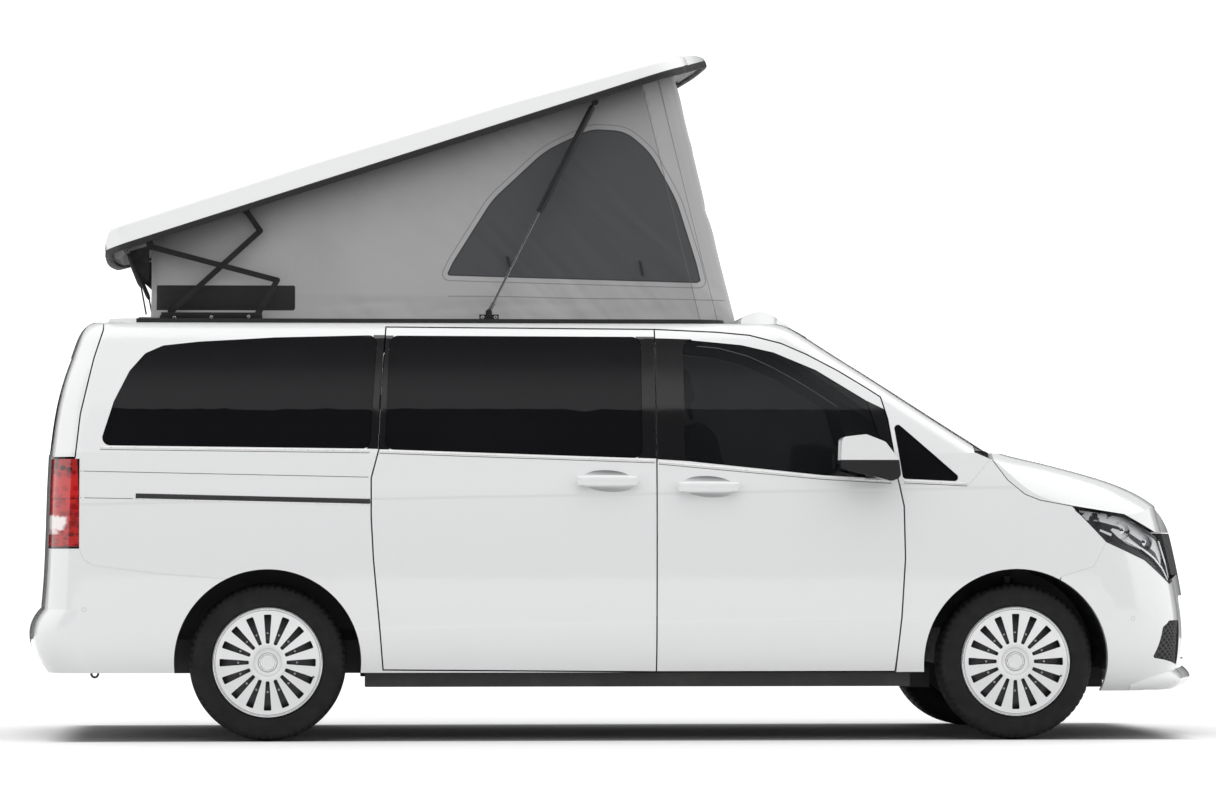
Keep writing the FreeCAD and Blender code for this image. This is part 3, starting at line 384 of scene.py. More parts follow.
def band(skin, points, width, out=0.0015, sink=0.002, step=0.02, closed=False):
    """Low strip of the given width along (x, z) points on the side: its cross-section is flat
    with two sloping edges that sink into the skin."""
    p = resample(points, step, closed)
    n = across(p, closed)
    w = np.broadcast_to(width, (len(p),))[:, None]
    rows = [on_side(skin, p + n * w * k, o)
            for k, o in ((0.5, -sink), (0.44, out), (-0.44, out), (-0.5, -sink))]
    v = np.stack(rows, 1).reshape(-1, 3)
    f = grid_faces(len(p), 4, closed)
    if not closed:
        f += [(3, 2, 1, 0), tuple(len(v) - 4 + i for i in range(4))]
    return v, f


def both(name, part, mat, body="van_body", smooth=True, attrs=None):
    """The same piece on both sides of the van; body is the right-hand one."""
    v, f = part
    mesh(name + "_right", v, f, body, mat, smooth, attrs)
    mesh(name + "_left", v * (1, -1, 1), [q[::-1] for q in f], body.replace("right", "left"), mat, smooth,
         attrs)


# ---------------------------------------------------------------- materials
def shade(colour, k):
    """The colour k times as bright."""
    return tuple(c * k for c in colour)


def paint(name, colour=(0.78, 0.785, 0.79), coat=1.0):
    """Gloss white paint: faint mottle, orange peel, a little greyer in noise patches towards the sills."""
    m = Mat(name, colour, 0.32, 0.0, Coat_Weight=coat, Coat_Roughness=0.04, Specular_IOR_Level=0.5)
    m.mottle(3.0, 3, 0.35, 0.75, 0.05, shade(colour, 0.96))
    # A little greyer towards the sills, in noise patches.
    lower_grey = m.z.ramp(0.42, 0.22) * m.noise(5, 3).ramp(0.2, 0.8, 0.3, 0.8)
    m.tint(lower_grey * 0.16, (0.60, 0.60, 0.59))
    m.uneven(2.5, 1, 0.29, 0.34)
    m.bump(m.noise(110, 1), 0.00004, 0.12)
    return m


def side_lines(m):
    """Pressed lines of the body side as relief: a step that follows height and length."""
    up = m.x * 0.0186 + 1.0512
    low = m.x * 0.0205 + 0.5030
    h = (m.z - up).ramp(-0.010, 0.006, 0.0, 1.0) * (m.z - up).ramp(0.11, 0.0, 0.0, 1.0)
    h2 = (m.z - low).ramp(-0.012, 0.012, 1.0, 0.0) * (m.z - low).ramp(-0.16, -0.01, 0.0, 1.0)
    m.bump(h + h2, 0.004, 0.8)
    return m


WHITE = side_lines(paint("white_paint"))
BUMPER = paint("white_bumper")
# Painted shade: the bumper's walls in the depth of the corner opening, and the column beside it towards the
# grille, are tinted near-black.
BUMPER.tint(BUMPER.patch((2.352, 0.338), (2.460, 0.300), (2.460, 0.505), (2.352, 0.505))
            * BUMPER.y.abs().ramp(0.600, 0.603), (0.012, 0.012, 0.012))
GELCOAT = paint("roof_gelcoat", (0.86, 0.865, 0.865), 0.6)
LEAF = paint("leaf_paint")


def grained(name, colour=(0.022, 0.022, 0.024), rough=0.5, size=900.0, depth=0.0002):
    """Moulded plastic with leather grain and worn lighter patches."""
    m = Mat(name, colour, rough)
    m.bump(m.cells(size), depth, 0.6)
    m.mottle(7, 4, 0.5, 0.8, 0.35, shade(colour, 1.7))
    m.uneven(30, 3, rough - 0.08, rough + 0.12)
    return m


BLACK = grained("black_plastic")
UNDER = Mat("underseal", (0.030, 0.030, 0.031), 0.75)
UNDER.bump(UNDER.noise(160, 4), 0.0008, 0.7)
UNDER.mottle(6, 5, 0.45, 0.75, 0.6, (0.06, 0.055, 0.05))
TRIM = grained("cabin_trim", (0.10, 0.10, 0.105), 0.65, 500.0)


def steel(name, colour, rough, metal=1.0):
    """Metal with fine brushing along x and a mottled finish."""
    m = Mat(name, colour, rough, metal)
    m.bump(m.noise(90, 3, 0.6, (0.15, 6, 6)), 0.00006, 0.5)
    m.mottle(12, 4, 0.45, 0.8, 0.4, shade(colour, 0.7))
    m.uneven(40, 3, rough - 0.05, rough + 0.1)
    return m


DARK_STEEL = steel("dark_steel", (0.055, 0.055, 0.058), 0.42, 0.6)
BLACK_STEEL = steel("black_steel", (0.022, 0.022, 0.023), 0.36, 0.3)
BRIGHT = steel("bright_steel", (0.70, 0.70, 0.70), 0.22)
IRON = steel("engine_iron", (0.13, 0.13, 0.135), 0.6)
ROD = steel("rod_steel", (0.24, 0.24, 0.245), 0.2)
CHROME = Mat("chrome", (0.80, 0.81, 0.82), 0.08, 1.0)
CHROME.bump(CHROME.noise(240, 1), 0.00002, 0.3)
CHROME.uneven(50, 2, 0.05, 0.12)

RUBBER = grained("black_rubber", (0.014, 0.014, 0.014), 0.55, 1600.0, 0.0001)


def glass(name, colour, alpha):
    """Tinted glass: mirror gloss over a dark body."""
    m = Mat(name, colour, 0.0, 0.0, Specular_IOR_Level=0.5, IOR=1.52, Alpha=alpha)
    m.mottle(2.0, 2, 0.3, 0.8, 0.5, shade(colour, 1.25))
    m.bump(m.noise(1.5, 1), 0.0002, 0.02)
    return m


PRIVACY = glass("privacy_glass", (0.006, 0.006, 0.007), 0.985)
DOOR_GLASS = glass("door_glass", (0.008, 0.009, 0.010), 0.74)
SCREEN = glass("screen_glass", (0.012, 0.015, 0.016), 0.62)
LENS = Mat("lamp_cover", (0.05, 0.052, 0.055), 0.0, 0.0, IOR=1.49, Alpha=0.14, Coat_Weight=0.2)
LENS.mottle(4, 2, 0.3, 0.8, 0.3, (0.07, 0.072, 0.075))
LENS.bump(LENS.noise(30, 1), 0.00005, 0.2)


def tail_lens():
    """Red lens with a pale reversing field, dark joints and fine prisms."""
    m = Mat("lamp_red", (0.42, 0.006, 0.010), 0.12, 0.0, Coat_Weight=1.0, Coat_Roughness=0.03)
    m.tint(m.z.ramp(1.05, 0.95) * 0.75, (0.20, 0.003, 0.006))
    pale = m.z.ramp(0.872, 0.880) * m.z.ramp(0.965, 0.955) * m.x.ramp(-2.405, -2.42)
    m.tint(pale, (0.72, 0.66, 0.66))
    for joint in (1.03, 0.875):
        m.tint(m.z.line(joint, 0.002, 0.005), (0.10, 0.001, 0.002))
    m.tint(m.z.ramp(1.115, 1.165), (0.035, 0.006, 0.007))
    m.tint(m.cells(26, (1, 1, 1.6)).ramp(0.35, 0.55, 0.0, 0.55), (0.62, 0.03, 0.025))
    m.mottle(19, 3, 0.55, 0.62, 0.5, (0.16, 0.008, 0.01))
    field = (m.z + m.noise(24, 2) * 0.05 - 0.953).abs().ramp(0.034, 0.022)
    m.tint(field * (m.x + m.noise(17, 2) * 0.06).ramp(-2.345, -2.365), (0.86, 0.80, 0.79))
    m.tint(m.z.ramp(0.829, 0.827), (0.01, 0.01, 0.01))
    m.tint((m.x + m.z * 0.05).ramp(-2.2725, -2.2705), (0.02, 0.005, 0.005))
    m.bump(m.z.wave(0.012) + m.y.wave(0.012), 0.0006, 0.5)
    return m


RED = tail_lens()


def canvas(name):
    """Coated canvas: woven ribs every 2.4 mm, mottled grey, shaded under the roof, a paler front, a
    dark strap, sewn seams and a mesh window."""
    m = Mat(name, (0.375, 0.372, 0.378), 0.78, 0.0, Sheen_Weight=0.25, Sheen_Roughness=0.5)
    weave = (m.x + m.y).wave(0.0024) * m.z.wave(0.0024)
    m.tint(m.noise(2.2, 5, 0.6).ramp(0.35, 0.7, 0.0, 0.55), (0.310, 0.309, 0.315))
    m.tint(m.noise(60, 3, 0.6, (1, 1, 0.08)).ramp(0.5, 0.8, 0.0, 0.25), (0.38, 0.38, 0.385))
    m.tint(m.attr("shade"), (0.065, 0.066, 0.069))
    m.tint(m.attr("light") * 0.8, (0.40, 0.40, 0.405))
    m.tint(m.attr("window").ramp(0.0, 0.003), (0.052, 0.054, 0.058))
    m.tint(m.attr("window").line(0.004, 0.002, 0.004) * 0.7, (0.02, 0.02, 0.02))
    m.tint(m.attr("tape").ramp(0.0, 0.002), (0.010, 0.010, 0.011))
    for seam, at in (("edge", 0.160), ("edge", 0.085), ("hem", 1.0), ("window", -0.020)):
        m.tint(m.attr(seam).line(at, 0.0012, 0.0030) * 0.6, (0.10, 0.10, 0.102))
    m.bump(weave, 0.0004, 0.5)
    m.bump(m.noise(26, 4, 0.6), 0.0018, 0.5)
    return m


CANVAS = canvas("tent_canvas")
HEM = canvas("canvas_hem")


def cloth(name, colour):
    """Seat cloth: a chequer of ribs with a heathered colour."""
    m = Mat(name, colour, 0.85, 0.0, Sheen_Weight=0.4, Sheen_Roughness=0.4)
    m.mottle(400, 2, 0.4, 0.7, 0.6, shade(colour, 1.9))
    m.mottle(5, 4, 0.5, 0.8, 0.4, shade(colour, 0.6))
    m.bump(m.x.wave(0.004) * m.z.wave(0.004) + m.y.wave(0.004) * 0.5, 0.0007, 0.6)
    return m


CLOTH = cloth("seat_cloth", (0.055, 0.055, 0.060))


def tyre_mat():
    """Tyre rubber: brown-black, matt, with fine radial ribs and a dusty tread."""
    m = Mat("tyre_rubber", (0.0085, 0.0085, 0.009), 0.72, Specular_IOR_Level=0.32)
    m.mottle(20, 4, 0.45, 0.75, 0.5, (0.015, 0.0145, 0.014))
    m.bump(m.noise(500, 3), 0.0003, 0.5)
    m.uneven(15, 3, 0.62, 0.8)
    return m


TYRE = tyre_mat()


def cover_mat(name, hub_x):
    """Silver lacquer wheel cover: turned lines round the rim, and painted shade, near-black, in the depth
    of the slots.
    """
    m = Mat(name, (0.82, 0.825, 0.83), 0.30, 0.12, Coat_Weight=0.7, Coat_Roughness=0.06)
    dx, dz = m.x - hub_x, m.z - HUB_Z
    r = (dx * dx + dz * dz).root()
    m.mottle(30, 3, 0.4, 0.8, 0.3, (0.74, 0.745, 0.75))
    # Painted shade: near-black where the cover lies deep in its slots.
    m.tint(m.y.abs().ramp(0.9005, 0.8955), (0.012, 0.012, 0.013))
    m.tint(r.line(0.2225, 0.0008, 0.0022) * 0.75, (0.20, 0.20, 0.205))
    m.tint(r.line(0.0405, 0.0008, 0.0022) * 0.8, (0.15, 0.15, 0.155))
    m.bump(r.wave(0.0016), 0.00008, 0.4)
    return m


COVERS = {x: cover_mat(f"cover_{i}", x) for i, x in enumerate((REAR_AXLE_X, FRONT_AXLE_X))}


# ---------------------------------------------------------------- the CAD nodes' materials
PILLAR = (0.010, 0.010, 0.011)


def pillars(m, *patches):
    """Gloss black window surrounds, as convex patches in the side view."""
    rough = 0.31
    for outline in patches:
        mask = m.patch(*outline)
        m.tint(mask, PILLAR)
        rough = rough - mask * 0.26
    m.drive("Roughness", rough)
    return m


put(WHITE, "front_fenders")
SIDES = pillars(side_lines(paint("side_paint")),
                [(-1.105, 1.243), (-1.040, 1.241), (-0.960, 1.7325), (-1.075, 1.7325)])
put(SIDES, "body_side_right", "body_side_left")
SLIDE = pillars(side_lines(paint("slide_paint")),
                [(-1.07, 1.2405), (-1.01, 1.2392), (-0.990, 1.7305), (-1.06, 1.7305)],
                [(0.050, 1.2045), (0.140, 1.2015), (0.140, 1.7275), (0.050, 1.7280)])
put(SLIDE, "sliding_doors")
put(LEAF, "roof_frame", "bonnet", "tailgate")
DOORS = pillars(side_lines(paint("door_paint")),
                [(0.110, 1.2005), (0.290, 1.1890), (0.290, 1.7170), (0.110, 1.7220)],
                [(1.060, 1.1195), (1.20, 1.1120), (1.20, 1.372), (1.036, 1.4525)])
put(DOORS, "door_right", "door_left")
put(BUMPER, "front_bumper", "rear_bumper")
put(GELCOAT, "roof_fairing")
# The shell is white outside and lined with black felt: turned back to the shut roof, the lining is
# what lies within the outer skin and under the ceiling.
SHELL = paint("shell_gelcoat", (0.86, 0.865, 0.865), 0.6)
dx, dz = SHELL.x - POLE[0], SHELL.z - POLE[1]
xs = dx * math.cos(OPEN) + dz * math.sin(OPEN) + POLE[0]
zs = dz * math.cos(OPEN) - dx * math.sin(OPEN) + POLE[1]
wide = SHELL.y.abs()
for corner, at, r in ((xs - 0.287, 0.510, 0.182), (-2.034 - xs, 0.600, 0.092)):
    a, b = corner.max(0.0), (wide - at).max(0.0)
    zs = zs + ((a * a + b * b).root() - r).ramp(-0.0008, 0.0002)
zs = zs + xs.ramp(-2.085, -2.115, 0.0, 0.06)
SHELL.tint(zs.ramp(1.9125, 1.9115), (0.020, 0.020, 0.021))
put(SHELL, "pop_top")
put(UNDER, "floor_pan")
put(BLACK, "bulkhead", "grille")
put(TRIM, "dashboard")
put(SCREEN, "windscreen")
put(PRIVACY, "side_glass", "tailgate_glass")
put(DOOR_GLASS, "door_glass_right", "door_glass_left")
put(LENS, "headlamps")
put(RED, "tail_lamps")
put(DARK_STEEL, "tow_eye", "front_axle", "rear_axle", "knuckle_right", "knuckle_left")
put(IRON, "engine_block")
put(RUBBER, "pop_top_seal")
# The rail's rear end is white.
RAIL_RUBBER = grained("rail_rubber", (0.016, 0.016, 0.017), 0.6)
RAIL_RUBBER.tint(RAIL_RUBBER.x.ramp(-2.090, -2.092), (0.74, 0.745, 0.75))
put(RAIL_RUBBER, "roof_rail")
put(BLACK_STEEL, "scissor_arms_a", "scissor_arms_b", "scissor_links_a", "scissor_links_b",
    "roof_brackets", "strut_tubes")
put(ROD, "strut_rods")
for end, x in (("front", FRONT_AXLE_X), ("rear", REAR_AXLE_X)):
    for side in ("right", "left"):
        put(COVERS[x], f"wheel_{end}_{side}")
        put(TYRE, f"tyre_{end}_{side}")
MIRROR = paint("mirror_white")
MIRROR.tint(MIRROR.z.ramp(1.196, 1.194), (0.02, 0.02, 0.021))
put(MIRROR, "mirror_right", "mirror_left")


# ---------------------------------------------------------------- the tent
def opened(x, z):
    """Where a point of the shut roof stands when the roof is raised."""
    dx, dz = x - POLE[0], z - POLE[1]
    return (POLE[0] + dx * math.cos(OPEN) - dz * math.sin(OPEN),
            POLE[1] + dx * math.sin(OPEN) + dz * math.cos(OPEN))


CEIL = [opened(-2.080, 1.888), opened(-0.300, 1.902), opened(0.440, 1.882)]
FOOT = 1.7885           # height of the hem
LEAN_FROM = 1.812       # over this height the front wall leans back by FRONT_SLOPE
FRONT_SLOPE = -0.247
REAR_SLOPE = 0.3115     # slope of the roof's underside behind the first point of CEIL
CORNER = 0.085          # radius of the plan's corners


def tent_top(x):
    """Height of the roof's underside over x."""
    xs, zs = [c[0] for c in CEIL], [c[1] for c in CEIL]
    z = np.interp(x, xs, zs)
    return np.where(x < xs[0], zs[0] + (x - xs[0]) * REAR_SLOPE, z) - 0.006


def front_x(z):
    """The front wall leans back: how far forward it stands at height z."""
    return TENT_X1 - 0.003 + FRONT_SLOPE * (np.maximum(z, LEAN_FROM) - LEAN_FROM)


WINDOW = rounded([(-0.760, 1.998), (-0.730, 2.060), (-0.560, 2.330), (-0.330, 2.545), (-0.130, 2.640),
                  (0.020, 2.632), (0.130, 2.540), (0.245, 2.330), (0.330, 2.060), (0.352, 1.968)],
                 [0.012, 0.1, 0.4, 0.4, 0.16, 0.16, 0.3, 0.5, 0.3, 0.012], 10)


def tent_points(nu, nv):
    """Walls of the tent as P(u, v): u runs round the plan, a rounded rectangle, from the middle of
    the rear wall; v runs from the foot to the roof. The front wall leans, and the plan closes up
    with it."""
    plan = rounded([(TENT_X0, -TENT_Y), (TENT_X1, -TENT_Y), (TENT_X1, TENT_Y), (TENT_X0, TENT_Y)],
                   CORNER, 10)
    plan = np.roll(plan, -5, 0)
    loop = resample(plan, 0.001, True)
    k = np.linspace(0, len(loop), nu, endpoint=False).astype(int)
    x0, y0 = loop[k].T
    v = np.linspace(0, 1, nv)[None, :]
    ends = x0[:, None] > TENT_X1 - CORNER
    x = np.repeat(x0[:, None], nv, 1)
    for _ in range(4):
        z = FOOT + (tent_top(x) - FOOT) * v
        limit = front_x(z)
        x = np.where(ends, limit - (TENT_X1 - x0[:, None]), np.minimum(x0[:, None], limit - CORNER))
    z = FOOT + (tent_top(x) - FOOT) * v
    return x, np.repeat(y0[:, None], nv, 1), z


def fold(s, c, w):
    """A soft crease: 1 on the line s = c, falling off over w."""
    return np.exp(-((s - c) / w) ** 2)


def tent():
    """The canvas: the walls, moved in and out by slow bellies, drawn creases that run from the
    roof's rear to the window's front corner, puckers under the window and a turned hem."""
    nu, nv = 600, 76
    x, y, z = tent_points(nu, nv)
    h = (z - FOOT) / np.maximum(tent_top(x) - FOOT, 0.05)
    side = np.clip((np.abs(y) - (TENT_Y - 0.03)) / 0.02, 0, 1)
    front = np.clip((x - (front_x(z) - 0.03)) / 0.02, 0, 1) * (1 - side)
    rear = np.clip((TENT_X0 + 0.03 - x) / 0.02, 0, 1) * (1 - side)
    rnd = np.random.default_rng(7)
    hang = np.sin(np.pi * np.clip(h, 0, 1))
    d = -0.004 * hang
    along = x * math.cos(0.62) - z * math.sin(0.62)
    across = x * math.sin(0.62) + z * math.cos(0.62)
    for _ in range(26):                                   # long creases, down towards the front
        c, w, a = rnd.uniform(0.3, 3.0), rnd.uniform(0.014, 0.030), rnd.uniform(-0.0022, 0.0018)
        m0, m1 = rnd.uniform(-3.2, -0.8), rnd.uniform(0.25, 0.8)
        d += side * a * fold(across, c, w) * fold(along, m0 + m1, m1) * hang
    for _ in range(22):                                   # creases inside the mesh window
        c, w, a = rnd.uniform(1.55, 2.45), rnd.uniform(0.014, 0.03), rnd.uniform(-0.007, 0.005)
        slope = rnd.uniform(0.7, 1.3)
        d += side * a * fold(z + slope * (x + 0.1), c, w) * np.clip((x + 0.75) / 0.2, 0, 1)
    for _ in range(9):                                    # long sags just over the foot
        cx, cz, w = rnd.uniform(-1.2, 0.4), rnd.uniform(1.805, 1.90), rnd.uniform(0.012, 0.024)
        line = cz + rnd.uniform(0.0, 0.12) * (x - cx) + 0.004 * np.sin(11 * x)
        d += side * rnd.uniform(-0.005, 0.003) * fold(z - line, 0, w) * fold(x, cx, rnd.uniform(0.15, 0.5))
    for _ in range(26):                                   # short puckers of the low band
        cx, w = rnd.uniform(-1.3, 0.45), rnd.uniform(0.014, 0.04)
        d += side * rnd.uniform(-0.006, 0.004) * fold(x + 0.5 * (z - 1.85), cx, w) * fold(z, 1.84, 0.05)
    for _ in range(14):                                   # level creases of the end walls
        cz, w = rnd.uniform(1.9, 2.8), rnd.uniform(0.02, 0.06)
        d += (front + rear) * rnd.uniform(-0.004, 0.003) * fold(z + 0.35 * y, cz, w)
    seam = 1.902 - 0.0128 * (x + 0.1)                     # height of the low band's turned seam
    d += 0.0016 * fold(z, seam, 0.013) * side
    d -= 0.003 * np.clip(h - 0.96, 0, 1) / 0.04
    d = np.clip(d, -0.012, 0.006)
    cx = np.clip(x, TENT_X0 + CORNER, front_x(z) - CORNER)
    cy = np.clip(y, -TENT_Y + CORNER, TENT_Y - CORNER)
    nx, ny = x - cx, y - cy
    n = np.hypot(nx, ny) + 1e-9
    px, py = x + d * nx / n, y + d * ny / n

    pts = np.stack([x.ravel(), z.ravel()], 1)
    win = signed(pts, WINDOW).reshape(x.shape)
    win = np.where(side > 0.5, win, -1.0)
    flap = np.minimum.reduce([x + 2.015, -1.410 - x, z - 1.845, 1.955 - z])
    flap = np.where(side > 0.5, flap, -1.0)
    up = np.clip((tent_top(x) - z), 0, 2)
    fall = 0.105 + 0.09 * np.clip((-1.4 - x) / 0.5, 0, 1)
    dim = 0.86 * np.exp(-(up / fall) ** 1.6) + 0.14 * np.exp(-up / 0.4)
    dim += 0.10 * np.clip((x + 1.5) / 1.5, 0, 1) * side * np.clip(up / 0.2, 0, 1)
    edge = front_x(z) - x
    light = side * np.clip((0.16 - edge) / 0.006, 0, 1) * 0.75 + front * 0.9
    on = side > 0.5
    hem = np.where(on & (x > -0.75), z - seam - 0.0015 * np.sin(9 * x), 1.0)
    v = np.stack([px, py, z], -1).reshape(-1, 3)
    o = mesh("tent_walls", v, grid_faces(nu, nv, True, False), "van_body", CANVAS, attrs={
        "window": win.ravel(), "tape": flap.ravel(), "shade": np.clip(dim, 0, 1).ravel(),
        "light": np.clip(light, 0, 1).ravel(), "edge": np.where(on, edge, 1.0).ravel(),
        "hem": (hem + 1.0).ravel()})
    solid = o.modifiers.new("thick", "SOLIDIFY")
    solid.thickness, solid.offset = 0.0022, -1.0
    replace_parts(o, "tent")
    return o, v.reshape(nu, nv, 3)


TENT, GRID = tent()
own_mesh(TENT)


# ---------------------------------------------------------------- roof shell, struts, brackets
def shut_rim(x):
    """Height of the shell's lower edge over x, roof shut."""
    return np.interp(x, [-2.190, 0.461, 0.585, 0.640], [1.82784, 1.859, 1.879, 1.8943])


def plan_loop():
    """The shell's plan, 2.796 by 1.44 m: straight sides, corners of radius rr and fr, and ends
    bowed by rb and fb."""
    xr, xf, w, rr, fr, rb, fb = -2.174, 0.622, 0.720, 0.120, 0.210, 0.020, 0.125
    a, b = xr + rb, xf - fb
    th = np.linspace(0, math.pi / 2, 16)
    y = np.linspace(w - rr, rr - w, 20)
    pts = [np.stack([xr + rb * (y / (w - rr)) ** 2, y], 1),
           np.stack([a + rr - rr * np.cos(th), -(w - rr) - rr * np.sin(th)], 1)]
    y = np.linspace(fr - w, w - fr, 30)
    pts += [np.stack([b - fr + fr * np.sin(th), -(w - fr) - fr * np.cos(th)], 1),
            np.stack([xf - fb * (y / (w - fr)) ** 2, y], 1),
            np.stack([b - fr + fr * np.cos(th), (w - fr) + fr * np.sin(th)], 1),
            np.stack([a + rr - rr * np.sin(th), (w - rr) + rr * np.cos(th)], 1)]
    return resample(np.concatenate(pts), 0.0135, True)


def raised(x, y, z):
    """Points of the shut roof where they stand with the roof open."""
    ox, oz = opened(np.asarray(x), np.asarray(z))
    return np.stack([ox, np.broadcast_to(y, np.shape(ox)), oz], -1)


def rim():
    """Clip-on rubber rim: a section of seven points swept round the shell's edge."""
    sec = [(-0.030, 0.000), (-0.030, -0.016), (-0.012, -0.020), (0.001, -0.018), (0.0028, -0.006),
           (0.0028, 0.008), (0.0005, 0.0105)]
    base = plan_loop()
    low = np.clip((base[:, 0] + 2.17) / 2.63, 0, 1)
    rows = []
    out = across(base, True)
    if (out * (base - base.mean(0))).sum() < 0:
        out = -out
    for o, dz in sec:
        p = base + out * o
        drop = dz if dz > -0.013 else -0.013 + (dz + 0.013) * low
        rows.append(raised(p[:, 0], p[:, 1], shut_rim(base[:, 0]) + drop))
    v = np.stack(rows, 1)
    return v.reshape(-1, 3), grid_faces(len(base), len(sec), True)


mesh("shell_rim", *rim(), "pop_top_roof", RUBBER)

# Base plates of the scissor with three bright bolts, and the strut's foot with two.
PLATE_Y, FOOT_Y = 0.6765, 0.6815
both("scissor_plate", slab(-1.986, -1.558, -PLATE_Y - 0.003, -PLATE_Y, 1.7885, 1.833, 0.001), BLACK_STEEL,
     smooth=False)
both("scissor_bolts", join([bolt(x, -PLATE_Y - 0.003, z, 0.0085, 0.006)
                            for x, z in ((-1.929, 1.809), (-1.770, 1.812), (-1.611, 1.815))]), BRIGHT)
both("strut_foot_bolts", join([bolt(x, -FOOT_Y, 1.8135, 0.0085, 0.005) for x in (-0.604, -0.548)]), BRIGHT)
both("strut_foot_plate", slab(-0.618, -0.534, -FOOT_Y, -0.679, 1.800, 1.827, 0.0008), BLACK_STEEL,
     smooth=False)


# Doubled corner of canvas at the tent's rear foot.
both("foot_corner", slab(-2.086, -1.992, -0.606, -0.588, 1.7885, 1.816, 0.004), HEM)

# Strap behind the tent at each rear corner: a sleeve over its upper half, and a buckle.
REAR_STRAP = ((-2.132, 2.090), (-2.116, 2.046), (-2.074, 1.945), (-2.052, 1.826))
for side, y in (("right", -0.600), ("left", 0.600)):
    p = np.array([(x, y, z) for x, z in REAR_STRAP])
    q = resample(p[:3], 0.006)
    girth = np.interp(np.arange(len(q)), [0, 3, len(q) - 4, len(q) - 1], [0.004, 0.009, 0.010, 0.006])
    strap = mesh("rear_strap_" + side, *join([tube(q, girth, 12), tube(resample(p[2:], 0.01), 0.0035, 10)]),
                 "van_body", RUBBER)
    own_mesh(strap)

# Black gusset of cloth that closes the corner under the shell at the rear.
GUSSET = grained("gusset_cloth", (0.012, 0.012, 0.012), 0.85, 1100.0, 0.0002)
FLAP = np.array([(-2.126, 2.100), (-2.123, 2.049), (-2.091, 2.013), (-2.044, 1.971), (-2.038, 2.024),
                 (-2.040, 2.126)])


def gusset(side, y):
    """Fan of triangles from the middle, bowed in by up to 6 mm."""
    ring = resample(FLAP, 0.006, True)
    c = ring.mean(0)
    k = np.linspace(0, 1, 9)
    p = shrunk(ring, c, k)
    bow = 0.006 * (1 - k[None, :] ** 2) * np.ones(len(ring))[:, None]
    v = np.stack([p[..., 0], y * (1 - bow), p[..., 1]], -1).reshape(-1, 3)
    o = mesh("gusset_" + side, v, grid_faces(len(ring), 9, True), "van_body", GUSSET)
    a, b = ring, np.roll(ring, -1, 0)
    area = abs(float((a[:, 0] * b[:, 1] - b[:, 0] * a[:, 1]).sum())) / 2
    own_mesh(o)


gusset("right", -0.578)
gusset("left", 0.578)

# Two toggles at the foot of each mesh window.
for side, y in (("right", -0.5885), ("left", 0.5885)):
    parts = [tube(resample([(a, y, b), (c, y, d)], 0.006), 0.0045, 8)
             for a, b, c, d in ((-0.495, 2.083, -0.478, 2.020), (0.083, 2.064, 0.096, 2.002))]
    o = mesh("toggles_" + side, *join(parts), "van_body", RUBBER)
    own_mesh(o)


# ---------------------------------------------------------------- tyres with their tread
TREAD_N = 66            # pitches of the tread round the tyre
TREAD_MID, TREAD_HALF = 0.8175, 0.088
TREAD_FROM, GROOVE_DEPTH = 0.316, 0.0065
WALL_RIBS = 180         # fine ribs round the sidewall


def tyre(name, x, side, node, body):
    """Tyre turned from its section, r(v), y(v); the tread's grooves sink by g(u, v): three ribs
    round it, and shoulder blocks cut across at every pitch; fine ribs ring the sidewall."""
    prof = rounded([(0.222, 0.722), (0.250, 0.7095), (0.285, 0.7065), (0.308, 0.7115), (0.3235, 0.725),
                    (0.3315, 0.747), (0.3335, 0.772), (0.3335, 0.863), (0.3315, 0.888),
                    (0.3235, 0.910), (0.308, 0.9235), (0.285, 0.9285), (0.250, 0.9255),
                    (0.240, 0.9225), (0.2365, 0.914), (0.222, 0.914)], 0.008, 3)
    prof = resample(prof, 0.0045)
    nu, nv = TREAD_N * 8, len(prof)
    r, y = prof[:, 0], prof[:, 1]
    mid = (y - TREAD_MID) / TREAD_HALF
    u = np.arange(nu)[:, None] / nu
    ph = u * TREAD_N
    g = np.zeros((nu, nv))
    tread = (r > TREAD_FROM)[None, :]
    for c in (-0.42, 0.0, 0.42):
        g = np.maximum(g, np.clip(1.6 - np.abs(mid[None, :] - c) / 0.030, 0, 1))
    ph2 = ph + 0.45 * np.abs(mid)[None, :]
    slit = np.clip(1.5 - np.abs((ph2 % 1.0) - 0.5) / 0.10, 0, 1)
    g = np.maximum(g, slit * (np.abs(mid) > 0.52)[None, :])
    g = np.maximum(g, 0.6 * np.clip(1.5 - np.abs(((ph2 + 0.5) % 1.0) - 0.5) / 0.07, 0, 1)
                   * ((np.abs(mid) > 0.1) & (np.abs(mid) < 0.36))[None, :])
    rr = r[None, :] - GROOVE_DEPTH * g * tread
    # the outer wall lies 1.2 mm in, so that its two rings and its ribs stand out
    wall = (r < 0.312) & (r > 0.245) & (y > 0.8)
    ring = 0.0007 * (np.abs((r - 0.300) / 0.0032) < 1) + 0.0010 * (np.abs((r - 0.262) / 0.004) < 1)
    ribs = 0.0006 * ((r > 0.288) & (r < 0.298))[None, :] * (np.sin(u * 2 * math.pi * WALL_RIBS) > 0)
    yy = y[None, :] - (0.0012 - np.maximum(ring[None, :], ribs)) * wall[None, :]
    th = 2 * math.pi * u
    v = np.stack([x + rr * np.sin(th), side * np.broadcast_to(yy, rr.shape), HUB_Z + rr * np.cos(th)], -1)
    o = mesh(name, v.reshape(-1, 3), grid_faces(nu, nv, True, True), body, TYRE)
    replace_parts(o, node)


def stud_ring(x, side, r, n, size, y):
    """n plain domed studs on a circle of radius r round the hub."""
    turns = [2 * math.pi * i / n for i in range(n)]
    return join([bolt(x + r * math.sin(t), side * y, HUB_Z + r * math.cos(t), size, 0.005, side, False)
                 for t in turns])


